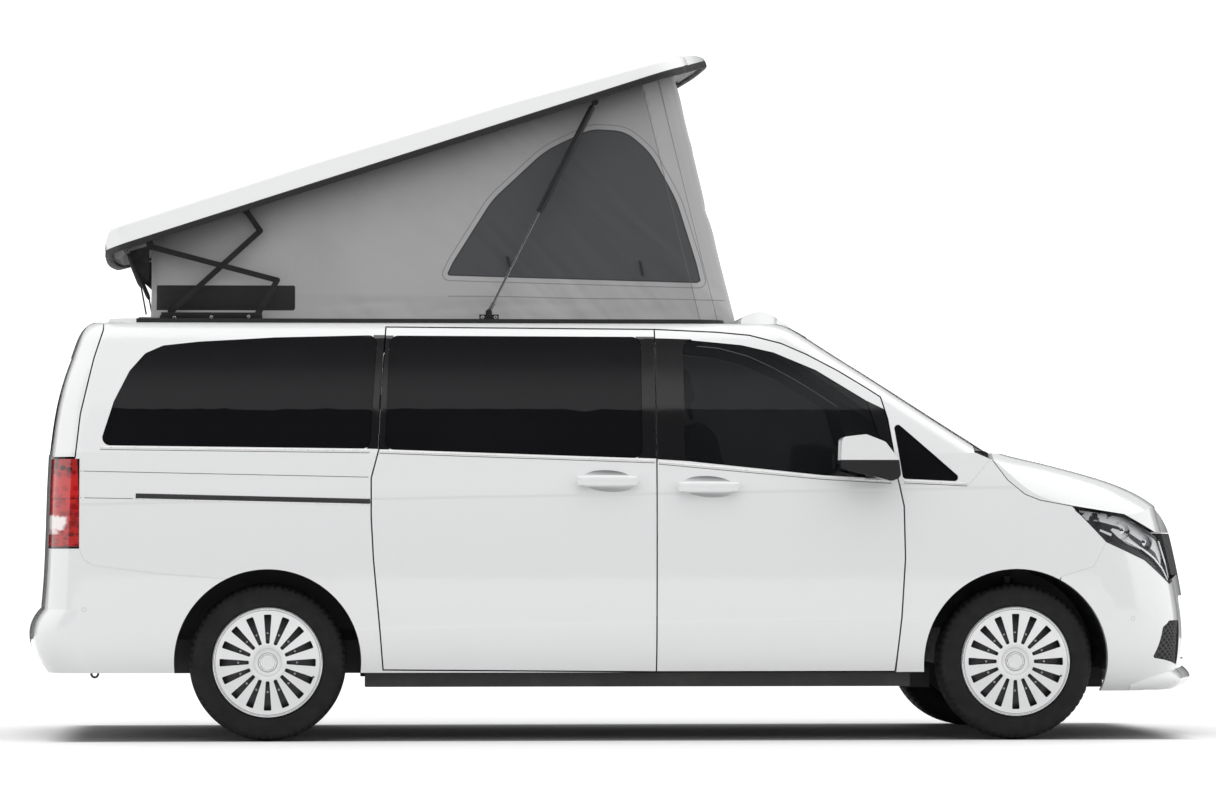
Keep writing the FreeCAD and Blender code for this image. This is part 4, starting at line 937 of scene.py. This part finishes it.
# Sections, as (radius, |y|): the steel rim's dark dish behind the cover, the ring round the cap and
# the rim's lip.
DISH = ((0.0765, 0.8935), (0.110, 0.8925), (0.160, 0.8915), (0.203, 0.8905), (0.203, 0.8885),
        (0.0765, 0.8895))
CAP = ((0.030, 0.9072), (0.0335, 0.9088), (0.0360, 0.9078), (0.0366, 0.9060), (0.0330, 0.9060))
LIP = ((0.2235, 0.9235), (0.2285, 0.9262), (0.2325, 0.9245), (0.2340, 0.9200), (0.2300, 0.9200))
for end, x in (("front", FRONT_AXLE_X), ("rear", REAR_AXLE_X)):
    for side, s in (("right", -1), ("left", 1)):
        wheel, hub = f"{end}_{side}", (x, 0, HUB_Z)
        body = f"wheel_{wheel}_body"
        tyre("tyre_tread_" + wheel, x, s, "tyre_" + wheel, body)
        mesh("rim_dish_" + wheel, *lathe(DISH, hub, s, 72), body, DARK_STEEL)
        mesh("rim_studs_" + wheel, *stud_ring(x, s, 0.125, 16, 0.0055, 0.8925), body, BRIGHT)
        mesh("cap_ring_" + wheel, *join([lathe(CAP, hub, s, 72), lathe(LIP, hub, s, 120)]), body, CHROME)
        valve = [(x + 0.196, s * 0.921, HUB_Z - 0.062), (x + 0.193, s * 0.926, HUB_Z - 0.060)]
        mesh("valve_" + wheel, *tube(valve, 0.0035), body, BLACK)


# ---------------------------------------------------------------- body side
SIDE = Skin("body_side_right", "sliding_doors", "door_right", "front_fenders", "front_bumper",
            "rear_bumper", "bonnet", "side_glass", "door_glass_right")
FLUSH = grained("gloss_pillar", (0.012, 0.012, 0.013), 0.16, 1400.0, 0.00002)
SATIN = steel("satin_trim", (0.86, 0.86, 0.85), 0.30, 0.2)
SHADOW_AND_SEAM_GREY = grained("shadow_groove", (0.16, 0.16, 0.165), 0.7)
RINGS = grained("sensor_ring", (0.45, 0.45, 0.46), 0.6)

# Strip under the windows: bright upper edge, and under it a grey line of painted shadow for the fine
# groove.
BELT = (("rear", "van_body", [(-2236, 1249), (-1094, 1236)]),
        ("slide", "van_body", [(-1052, 1234), (124, 1194)]),
        ("door", "door_right_leaf", [(138, 1189), (842, 1124), (1136, 1107)]),
        ("quarter", "van_body", [(1190, 1109), (1462, 1096)]))
for name, body, pts in BELT:
    p = np.array(pts) / 1000
    both("belt_strip_" + name, band(SIDE, p, 0.008, 0.0018), SATIN, body)
    both("belt_shadow_line_" + name, band(SIDE, p - (0, 0.0105), 0.0035, 0.0004), SHADOW_AND_SEAM_GREY, body)

# Rail of the sliding door in the rear quarter, with its slanted rear end and a running groove.
RAIL = np.array([(-2084, 1042), (-1092, 1019)]) / 1000
both("slide_rail", band(SIDE, RAIL, 0.023, 0.0012), BLACK)
both("slide_groove", band(SIDE, RAIL + (0.002, -0.002), 0.007, 0.0020), FLUSH)
both("slide_edge", band(SIDE, RAIL - (0, 0.0135), 0.004, 0.0012), SATIN)
# Two fine panel lines on the rear quarter, in the same grey.
for i, pts in enumerate(([(-2318, 1147), (-1098, 1122)], [(-2318, 1034), (-2096, 1030)])):
    both(f"quarter_line_{i}", band(SIDE, np.array(pts) / 1000, 0.0035, 0.0003), SHADOW_AND_SEAM_GREY)

# Hollow behind each pull handle, as an oval plate with painted shade: dark grey in its upper half, a
# lighter grey in its lower.
CUP_SHADE_PLATE = paint("handle_hollow_painted_shade", (0.80, 0.81, 0.82))
CUP_SHADE_PLATE.tint(CUP_SHADE_PLATE.attr("height").ramp(0.25, 0.95), (0.20, 0.20, 0.21))
CUP_SHADE_PLATE.tint(CUP_SHADE_PLATE.attr("height").ramp(-0.35, -0.95), (0.42, 0.42, 0.43))


def cup(x, z):
    """Ellipse of half axes 126 and 46 mm, turned 3 degrees, on the flat through two points of the
    side behind it, and 1.2 (1 - r^8) mm out from it. Its height runs from -1 to 1."""
    u, r = np.meshgrid(np.linspace(0, 2 * math.pi, 48, endpoint=False), np.linspace(0, 1, 9), indexing="ij")
    du, dv = 0.126 * r * np.cos(u), 0.046 * r * np.sin(u)
    low, high = SIDE.at([(x - 0.20, z - 0.05), (x - 0.20, z + 0.05)])
    up = dv - 0.05 * du
    y = (low + high) / 2 + up * (high - low) / 0.10 - 0.0012 * (1 - r ** 8)
    v = np.stack([x + du, y, z + up], -1).reshape(-1, 3)
    return (v, grid_faces(48, 9, True)), {"height": (np.sin(u) * r).reshape(-1)}


for name, x, z, body in (("slide", -0.075, 1.106, "van_body"), ("door", 0.352, 1.082, "door_right_leaf")):
    part, height = cup(x, z)
    both("handle_cup_" + name, part, CUP_SHADE_PLATE, body, attrs=height)


def pull(x0, x1, y, z):
    """Handle grip: sections, superellipses (y^3.3 and z^2.5), carried along x and thinned to both
    ends by (1 - u^6)."""
    u = np.linspace(-1, 1, 41)[:, None]
    th = np.linspace(0, 2 * math.pi, 24, endpoint=False)[None, :]
    fat = np.clip(1 - np.abs(u) ** 6, 0, 1) ** 0.5 * 0.999 + 0.001
    cy, cz = (np.sign(f) * np.abs(f) ** k for f, k in ((np.cos(th), 0.6), (np.sin(th), 0.8)))
    x = np.broadcast_to((x0 + x1) / 2 + ((x1 - x0) / 2 + 0.004) * u, (41, 24))
    v = np.stack([x, y + 0.0135 * fat * cy - 0.002 * (1 - u * u), z + 0.0245 * fat * cz], -1)
    return v.reshape(-1, 3), grid_faces(41, 24, False, True)


GRIP = paint("grip_white")
both("grip_slide", pull(-0.210, 0.043, -0.990, 1.106), GRIP)
both("grip_door", pull(0.221, 0.476, -0.990, 1.080), GRIP, "door_right_leaf")

# Flush parking sensors: a faint ring each.
turn = np.linspace(0, 2 * math.pi, 25)
for name, x, z in (("rear", -2.300, 0.560), ("front", 2.180, 0.518)):
    at = np.stack([x + 0.0085 * np.cos(turn), z + 0.0085 * np.sin(turn)], 1)
    both("sensor_ring_" + name, band(SIDE, at, 0.002, 0.0002, step=0.002), RINGS)

# Dark liners that close the wheel arches behind the tyres.
LINERS = ((REAR_AXLE_X, 0.300, 0.404, 0.686, 0.283, 0.425),
          (FRONT_AXLE_X, 0.320, 0.440, 0.500, 0.212, 0.300))
for i, (x, near, far, y, low, top) in enumerate(LINERS):
    plates = [slab(x + a, x + b, -y - 0.002, -y + 0.002, low, top, 0.001)
              for a, b in ((-far, -near), (near, far))]
    both(f"arch_liner_{i}", join(plates), UNDER, smooth=False)


# ---------------------------------------------------------------- lamps and grilles
MESH = grained("mesh_plastic", (0.045, 0.045, 0.044), 0.5)
LAMP_SKIN = Skin("headlamps")
LAMP_INNER = -0.675     # nothing of the housing lies further in than this y
LAMP = rounded([(1.918, 0.994), (2.145, 0.961), (2.310, 0.866), (2.372, 0.700), (2.366, 0.663),
                (2.238, 0.767), (2.062, 0.845)], [0.01, 0.2, 0.15, 0.05, 0.004, 0.2, 0.3], 8)
HOUSING = grained("lamp_housing", (0.030, 0.031, 0.033), 0.3, 700.0)
SILVER = steel("lamp_silver", (0.82, 0.83, 0.85), 0.16)
REFLECTION_SILVER = (0.80, 0.81, 0.83)
mottle = HOUSING.noise(26, 3).ramp(0.44, 0.50)
rear_half = HOUSING.x.ramp(2.10, 2.17)


def silver(low, top, keep=1.0):
    """Tints the housing bright silver between two lines of as many points each, quad by quad: the chrome
    trim inside the lamp, with its reflections painted.
    """
    for i in range(len(low) - 1):
        HOUSING.tint(HOUSING.patch(low[i], low[i + 1], top[i + 1], top[i]) * keep, REFLECTION_SILVER)


# Painted reflections: bright silver bands and streaks on the dark housing for the chrome trim catching the
# light; the first band is broken into noise patches towards its rear end.
silver([(1.950, 0.962), (1.978, 0.940), (2.033, 0.934), (2.120, 0.912)],
       [(1.948, 0.981), (1.990, 0.976), (2.040, 0.970), (2.125, 0.957)], (mottle + rear_half).min(1.0))
silver([(2.120, 0.912), (2.180, 0.880), (2.236, 0.846), (2.300, 0.800), (2.327, 0.745)],
       [(2.125, 0.957), (2.190, 0.932), (2.250, 0.896), (2.306, 0.852), (2.335, 0.820)])
silver([(2.086, 0.897), (2.117, 0.868), (2.160, 0.838), (2.225, 0.812)],
       [(2.095, 0.905), (2.150, 0.890), (2.178, 0.858), (2.230, 0.822)])
silver([(2.037, 0.892), (2.088, 0.870)], [(2.040, 0.901), (2.092, 0.881)])


def lamp_shell(depth, k0=0.965, n=14):
    """The lamp's outline, k0 of its size, shrunk to its middle in n steps, laid depth behind the
    cover."""
    ring = resample(LAMP, 0.012, True)
    p = shrunk(ring, np.array([2.19, 0.835]), np.linspace(k0, 0.0, n))
    y = np.minimum(LAMP_SKIN.at(p.reshape(-1, 2)).reshape(p.shape[:2]) + depth, LAMP_INNER)
    v = np.stack([p[..., 0], y, p[..., 1]], -1).reshape(-1, 3)
    return v, grid_faces(len(ring), n, True)


both("lamp_housing", lamp_shell(0.030), HOUSING)


def on_lamp(points, width, depth):
    """Ribbon inside the lamp, depth behind its cover."""
    p = resample(np.array(points), 0.008)
    n = across(p)
    w = np.interp(np.linspace(0, 1, len(p)), np.linspace(0, 1, len(width)), width)[:, None]
    rows = []
    for k, d in ((0.5, 0.006), (0.4, 0), (-0.4, 0), (-0.5, 0.006)):
        q = p + n * w * k
        rows.append(np.stack([q[:, 0], np.minimum(LAMP_SKIN.at(q) + depth + d, -0.672), q[:, 1]], 1))
    v = np.stack(rows, 1).reshape(-1, 3)
    return v, grid_faces(len(p), 4)


# Light guides: one along the lower edge and up the front, one under the top edge.
both("lamp_guides", join([
    on_lamp([(2.152, 0.852), (2.236, 0.814), (2.292, 0.775), (2.334, 0.730), (2.362, 0.680)],
            (0.006, 0.011, 0.011, 0.008), 0.012),
    on_lamp([(2.322, 0.850), (2.352, 0.760), (2.366, 0.690)], (0.010, 0.014, 0.006), 0.010)]), SILVER)
# Black edges of the cover, above and below.
both("lamp_brow", join([
    on_lamp([(1.924, 0.990), (2.050, 0.974), (2.143, 0.956), (2.235, 0.905), (2.306, 0.858)],
            (0.007, 0.013, 0.015, 0.017, 0.014), -0.0012),
    on_lamp([(1.926, 0.984), (2.064, 0.850), (2.238, 0.772), (2.362, 0.672)],
            (0.005, 0.008, 0.009, 0.006), -0.0012)]), FLUSH)


def bowl(x, z, r):
    """Reflector bowl of radius r, a paraboloid, with its lens as a spherical cap."""
    at = (x, min(LAMP_SKIN.at([(x, z)])[0] + 0.020, -0.70), z)
    dish = [(0.28 * r + 0.72 * r * a, -0.9 * r * (1 - a * a)) for a in np.linspace(0, 1, 9)]
    lens = [(0.52 * r * math.sin(a), -0.45 * r + 0.30 * r * math.cos(a)) for a in np.linspace(0, 1.5, 7)]
    return lathe(dish, at, -1, 28, False), lathe(lens, at, -1, 28, False)


CUPS, EYES = zip(bowl(2.135, 0.893, 0.036), bowl(2.238, 0.842, 0.038))
both("lamp_bowls", join(CUPS), SILVER)
both("lamp_eyes", join(EYES), CHROME)


def lattice(outline, pitch, angle, back, skin):
    """Diamond mesh behind an opening seen from the front: two sets of bars, cut to the outline,
    laid back metres behind the skin. Points are (y, z)."""
    out = []
    poly = np.array(outline)
    lo, hi = poly.min(0) - 0.02, poly.max(0) + 0.02
    for sgn in (-1, 1):
        d = np.array([math.cos(angle), sgn * math.sin(angle)])
        n = np.array([-d[1], d[0]])
        c = (lo + hi) / 2
        reach = np.linalg.norm(hi - lo) / 2
        for k in np.arange(-reach, reach, pitch):
            s = np.arange(-reach, reach, 0.010)
            p = c + n * k + d * s[:, None]
            ok = signed(p, poly) > -0.004
            runs = np.split(np.arange(len(p)), np.nonzero(np.diff(ok.astype(int)))[0] + 1)
            for run in runs:
                if len(run) > 2 and ok[run[0]]:
                    q = p[run]
                    x = skin(q) - back - (0.002 if sgn > 0 else 0)
                    w = n * 0.0022
                    rows = [np.stack([x - deep, q[:, 0] + w[0] * k, q[:, 1] + w[1] * k], 1)
                            for k, deep in ((1, 0.006), (0.5, 0), (-0.5, 0), (-1, 0.006))]
                    out.append((np.stack(rows, 1).reshape(-1, 3), grid_faces(len(q), 4)))
    return join(out)


NOSE = Skin("front_bumper", towards=(-1, 0, 0), start=3.0)
OVER_Z, UNDER_Z = 0.516, 0.298      # heights just over and just under the corner opening


def front_skin(p):
    """The bumper's face carried over the corner opening: straight from over it to under it."""
    y = -np.abs(p[:, 0])
    over, under = (NOSE.at(np.stack([y, np.full(len(y), z)], 1)) for z in (OVER_Z, UNDER_Z))
    return under + (over - under) * np.clip((p[:, 1] - UNDER_Z) / (OVER_Z - UNDER_Z), 0, 1)


CORNER = [(-0.872, 0.350), (-0.652, 0.309), (-0.652, 0.504), (-0.807, 0.504), (-0.846, 0.479)]
both("corner_mesh", lattice(CORNER, 0.021, 0.62, 0.003, front_skin), MESH)


def infill(outline, back):
    """Dark sheet behind an opening seen from the front, painted shade for its depth: the outline shrunk to
    its middle in steps.
    """
    loop = resample(np.array(outline), 0.012, True)
    p = shrunk(loop, loop.mean(0), np.linspace(1.0, 0.0, 12))
    x = front_skin(p.reshape(-1, 2)).reshape(p.shape[:2]) - back
    return np.stack([x, p[..., 0], p[..., 1]], -1).reshape(-1, 3), grid_faces(len(loop), 12, True)


# Painted shade: a near-black sheet in the depth behind the corner mesh.
both("corner_shade_sheet", infill(CORNER, 0.012), UNDER)



# ---------------------------------------------------------------- front seats, stuffed by simulation
LEAN = math.radians(14)
SEAT_BACK = np.array([0.450, 0.0, 0.850])


def pillow(half, power=5.0, n=12, bolster=0.0, pinch=0.0):
    """Closed pad: a cube of n x n panels a face pulled to a superellipsoid, |x/a|^p + |y/b|^p +
    |z/c|^p = 1; the sides along y rise by bolster and the outline pulls in between its corners."""
    g = np.linspace(-1, 1, n + 1)
    parts = []
    for axis in range(3):
        for s in (-1, 1):
            a, b = np.meshgrid(g, g, indexing="ij")
            p = np.zeros((n + 1, n + 1, 3))
            p[..., axis], p[..., (axis + 1) % 3], p[..., (axis + 2) % 3] = s, a, b
            f = grid_faces(n + 1, n + 1)
            parts.append((p.reshape(-1, 3), f if s > 0 else [q[::-1] for q in f]))
    v, f = join(parts)
    v = v / ((np.abs(v) ** power).sum(1) ** (1 / power))[:, None]
    side = np.clip((np.abs(v[:, 1]) - 0.55) / 0.4, 0, 1)
    v[:, 2] += bolster / half[2] * side * side * (3 - 2 * side) * (v[:, 2] > 0)
    v[:, 1] *= 1 - pinch * (1 - v[:, 0] ** 2)
    return v * half, f


def coords(me):
    """The mesh's points as an array."""
    p = np.empty(len(me.vertices) * 3)
    me.vertices.foreach_get("co", p)
    return p.reshape(-1, 3)


def stuffed(name, part, spin, place, cap=0.022, voxel=0.008):
    """The pad remeshed, blown up by cloth pressure for 20 frames, no point moving more than cap."""
    v, f = part
    me = bpy.data.meshes.new(name + "_start")
    me.from_pydata(v.tolist(), [], f)
    o = bpy.data.objects.new(name + "_start", me)
    scene = bpy.context.scene
    scene.collection.objects.link(o)
    weld = o.modifiers.new("weld", "WELD")
    weld.merge_threshold = 0.0005
    r = o.modifiers.new("remesh", "REMESH")
    r.mode, r.voxel_size = "VOXEL", voxel
    deps = bpy.context.evaluated_depsgraph_get()
    base = bpy.data.meshes.new_from_object(o.evaluated_get(deps))
    o.modifiers.clear()
    o.data = base
    start = end = coords(base)
    cloth_set = o.modifiers.new("cloth", "CLOTH").settings
    cloth_set.quality = 5
    cloth_set.mass = 0.3
    cloth_set.use_pressure = True
    cloth_set.uniform_pressure_force = 4.0
    cloth_set.effector_weights.gravity = 0.0
    for frame_no in range(1, 21):
        scene.frame_set(frame_no)
    deps = bpy.context.evaluated_depsgraph_get()
    end = coords(o.evaluated_get(deps).to_mesh())
    scene.frame_set(1)
    faces = [tuple(p.vertices) for p in base.polygons]
    bpy.data.objects.remove(o)
    move = end - start
    far = np.linalg.norm(move, axis=1)[:, None]
    p = start + move * np.minimum(1, cap / (far + 1e-9))
    return p, faces, spin, place


def sewn(p, half, lines, depth=0.006):
    """Sewn channels: Gaussian furrows where x or y crosses a line, and round the top panel."""
    u, w = p[:, 0] / half[0], p[:, 1] / half[1]
    d = np.zeros(len(p))
    for axis, at in lines:
        t = p[:, axis] - at
        fade = np.clip((0.80 - np.abs(w if axis == 0 else u)) / 0.1, 0, 1)
        d += depth * np.exp(-(t / 0.006) ** 2) * fade
    up = np.clip(p[:, 2] / half[2], 0, 1) ** 0.5
    q = p.copy()
    q[:, 2] -= d * up
    return q


def seat_part(name, data, half, lines, y, mirror):
    p, faces, spin, place = data
    q = sewn(p, half, lines)
    c, s = math.cos(spin), math.sin(spin)
    x, z = q[:, 0] * c + q[:, 2] * s, -q[:, 0] * s + q[:, 2] * c
    v = np.stack([x + place[0], q[:, 1] * mirror + y, z + place[2]], 1)
    o = mesh(name, v, faces if mirror > 0 else [f[::-1] for f in faces], "van_body", CLOTH)
    sub = o.modifiers.new("smooth", "SUBSURF")
    sub.levels = sub.render_levels = 1
    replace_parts(o, "seats")


def up_back(h):
    """A point h up the middle of the seat back."""
    return SEAT_BACK + np.array([-math.sin(LEAN) * h, 0, math.cos(LEAN) * h])


SEAT_H, BACK_H, HEAD_H = (0.245, 0.236, 0.056), (0.262, 0.224, 0.048), (0.084, 0.118, 0.036)
# Each pad is drawn lying flat, its front upward, and turned into place.
UPRIGHT = math.pi / 2 - LEAN
PADS = (("seat_cushion", stuffed("cushion", pillow(SEAT_H, 5, 14, 0.020, 0.03), 0.0, (0.690, 0, 0.806)),
         SEAT_H, [(0, -0.06), (0, 0.05), (1, -0.150), (1, 0.150)]),
        ("seat_back", stuffed("back", pillow(BACK_H, 5, 14, 0.022, 0.05), UPRIGHT, up_back(0.285)),
         BACK_H, [(0, -0.10), (0, 0.0), (0, 0.10), (1, -0.140), (1, 0.140)]),
        ("head_rest", stuffed("head", pillow(HEAD_H, 3.6, 10), UPRIGHT, up_back(0.695)),
         HEAD_H, [(0, 0.0)]))
for side, y, m in (("right", -0.45, 1), ("left", 0.45, -1)):
    for pad, data, half, lines in PADS:
        seat_part(f"{pad}_{side}", data, half, lines, y, m)
    posts = [tube([up_back(h) + (0, y + d, 0) for h in (0.545, 0.625)], 0.006, 10)
             for d in (-0.055, 0.055)]
    box = slab(0.455, 0.895, y - 0.205, y + 0.205, 0.5305, 0.742, 0.012)
    skirts = [slab(0.430, 0.600, y + d, y + d + 0.024, 0.745, 0.875, 0.010) for d in (-0.238, 0.214)]
    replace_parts(mesh(f"head_posts_{side}", *join(posts), "van_body", CHROME), "seats")
    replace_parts(mesh(f"seat_box_{side}", *join([box, *skirts]), "van_body", TRIM, False), "seats")


# ---------------------------------------------------------------- floor, light, camera
FLOOR_HALF, CARD_HALF = 60, 16
FLAG_Y, FLAG_TOP, SKY_TOP = 11.0, 6.75, 16.0


def stage_mesh(name, verts, mat):
    """One quad of the studio."""
    me = bpy.data.meshes.new(name)
    me.from_pydata(verts, [], [(0, 1, 2, 3)])
    o = bpy.data.objects.new(name, me)
    bpy.context.scene.collection.objects.link(o)
    me.materials.append(mat.m)
    return o


def level(name, z, mat):
    """Wide level quad at height z."""
    h = FLOOR_HALF
    return stage_mesh(name, [(-h, -h, z), (h, -h, z), (h, h, z), (-h, h, z)], mat)


FLOOR = Mat("floor", (0.93, 0.93, 0.93), 0.8)
FLOOR.mottle(1.2, 3, 0.4, 0.7, 0.2, (0.91, 0.91, 0.91))
# Painted shadow that the van stands in: full between the wheels, rounded off at both ends.
painted_shadow = FLOOR.x.abs().ramp(2.50, 2.30) * FLOOR.y.abs().ramp(0.98, 0.86)
FLOOR.tint(painted_shadow, (0.26, 0.26, 0.265))
FLOOR_OBJ = level("studio_floor", -0.001, FLOOR)


def card(name, y, z0, z1, mat):
    """Card beside the van that only mirror-like surfaces see."""
    h = CARD_HALF
    o = stage_mesh(name, [(-h, y, z0), (h, y, z0), (h, y, z1), (-h, y, z1)], mat)
    o.visible_camera = o.visible_diffuse = o.visible_shadow = o.visible_transmission = False


# On each side a dark flag, and over it a card that darkens upwards, which the glass mirrors above
# the flag's edge.
FLAG = Mat("flag_black", (0.004, 0.004, 0.004), 1.0)
SKY = Mat("sky_card", (0.55, 0.55, 0.56), 1.0)
SKY.tint(SKY.z.ramp(FLAG_TOP, 11.5), (0.10, 0.10, 0.10))
for side, s in (("right", -1), ("left", 1)):
    card("flag_" + side, s * FLAG_Y, 0.02, FLAG_TOP, FLAG)
    card("sky_" + side, s * (FLAG_Y + 0.01), FLAG_TOP, SKY_TOP, SKY)


def area(name, place, aim, size, power):
    """Rectangular lamp that faces aim."""
    lamp = bpy.data.lights.new(name, "AREA")
    lamp.shape, lamp.size, lamp.size_y, lamp.energy = "RECTANGLE", size[0], size[1], power
    o = bpy.data.objects.new(name, lamp)
    bpy.context.scene.collection.objects.link(o)
    d = np.subtract(aim, place)
    yaw, pitch = math.atan2(d[0], -d[1]), math.acos(-d[2] / np.linalg.norm(d))
    o.location, o.rotation_euler = place, (pitch, 0, yaw + math.pi)


# Scattered light meets a grey card under the floor instead of the white floor itself, so that what
# faces down is darker.
CARD = level("floor_card", -0.01, Mat("card_grey", (0.52, 0.52, 0.52), 1.0))
CARD.visible_camera = CARD.visible_shadow = CARD.visible_transmission = CARD.visible_glossy = False
FLOOR_OBJ.visible_diffuse = False

area("softbox_top", (0.4, -2.5, 9.5), (0, 0, 1.0), (9, 6), 62)

world = bpy.data.worlds.new("studio")
bpy.context.scene.world = world
world.use_nodes = True
sky = world.node_tree.nodes["Background"]
sky.inputs[0].default_value, sky.inputs[1].default_value = (1, 1, 1, 1), 1.3

cam = bpy.data.cameras.new("camera")
cam.sensor_width, cam.lens = 36.0, 150.1
cam.clip_end = 200
eye = bpy.data.objects.new("camera", cam)
AIM = Vector((-0.077, -0.93, 1.482))
eye.location = (-1.400, -22.53, 0.900)
eye.rotation_euler = (AIM - eye.location).to_track_quat("-Z", "Y").to_euler()
bpy.context.scene.collection.objects.link(eye)
bpy.context.scene.camera = eye
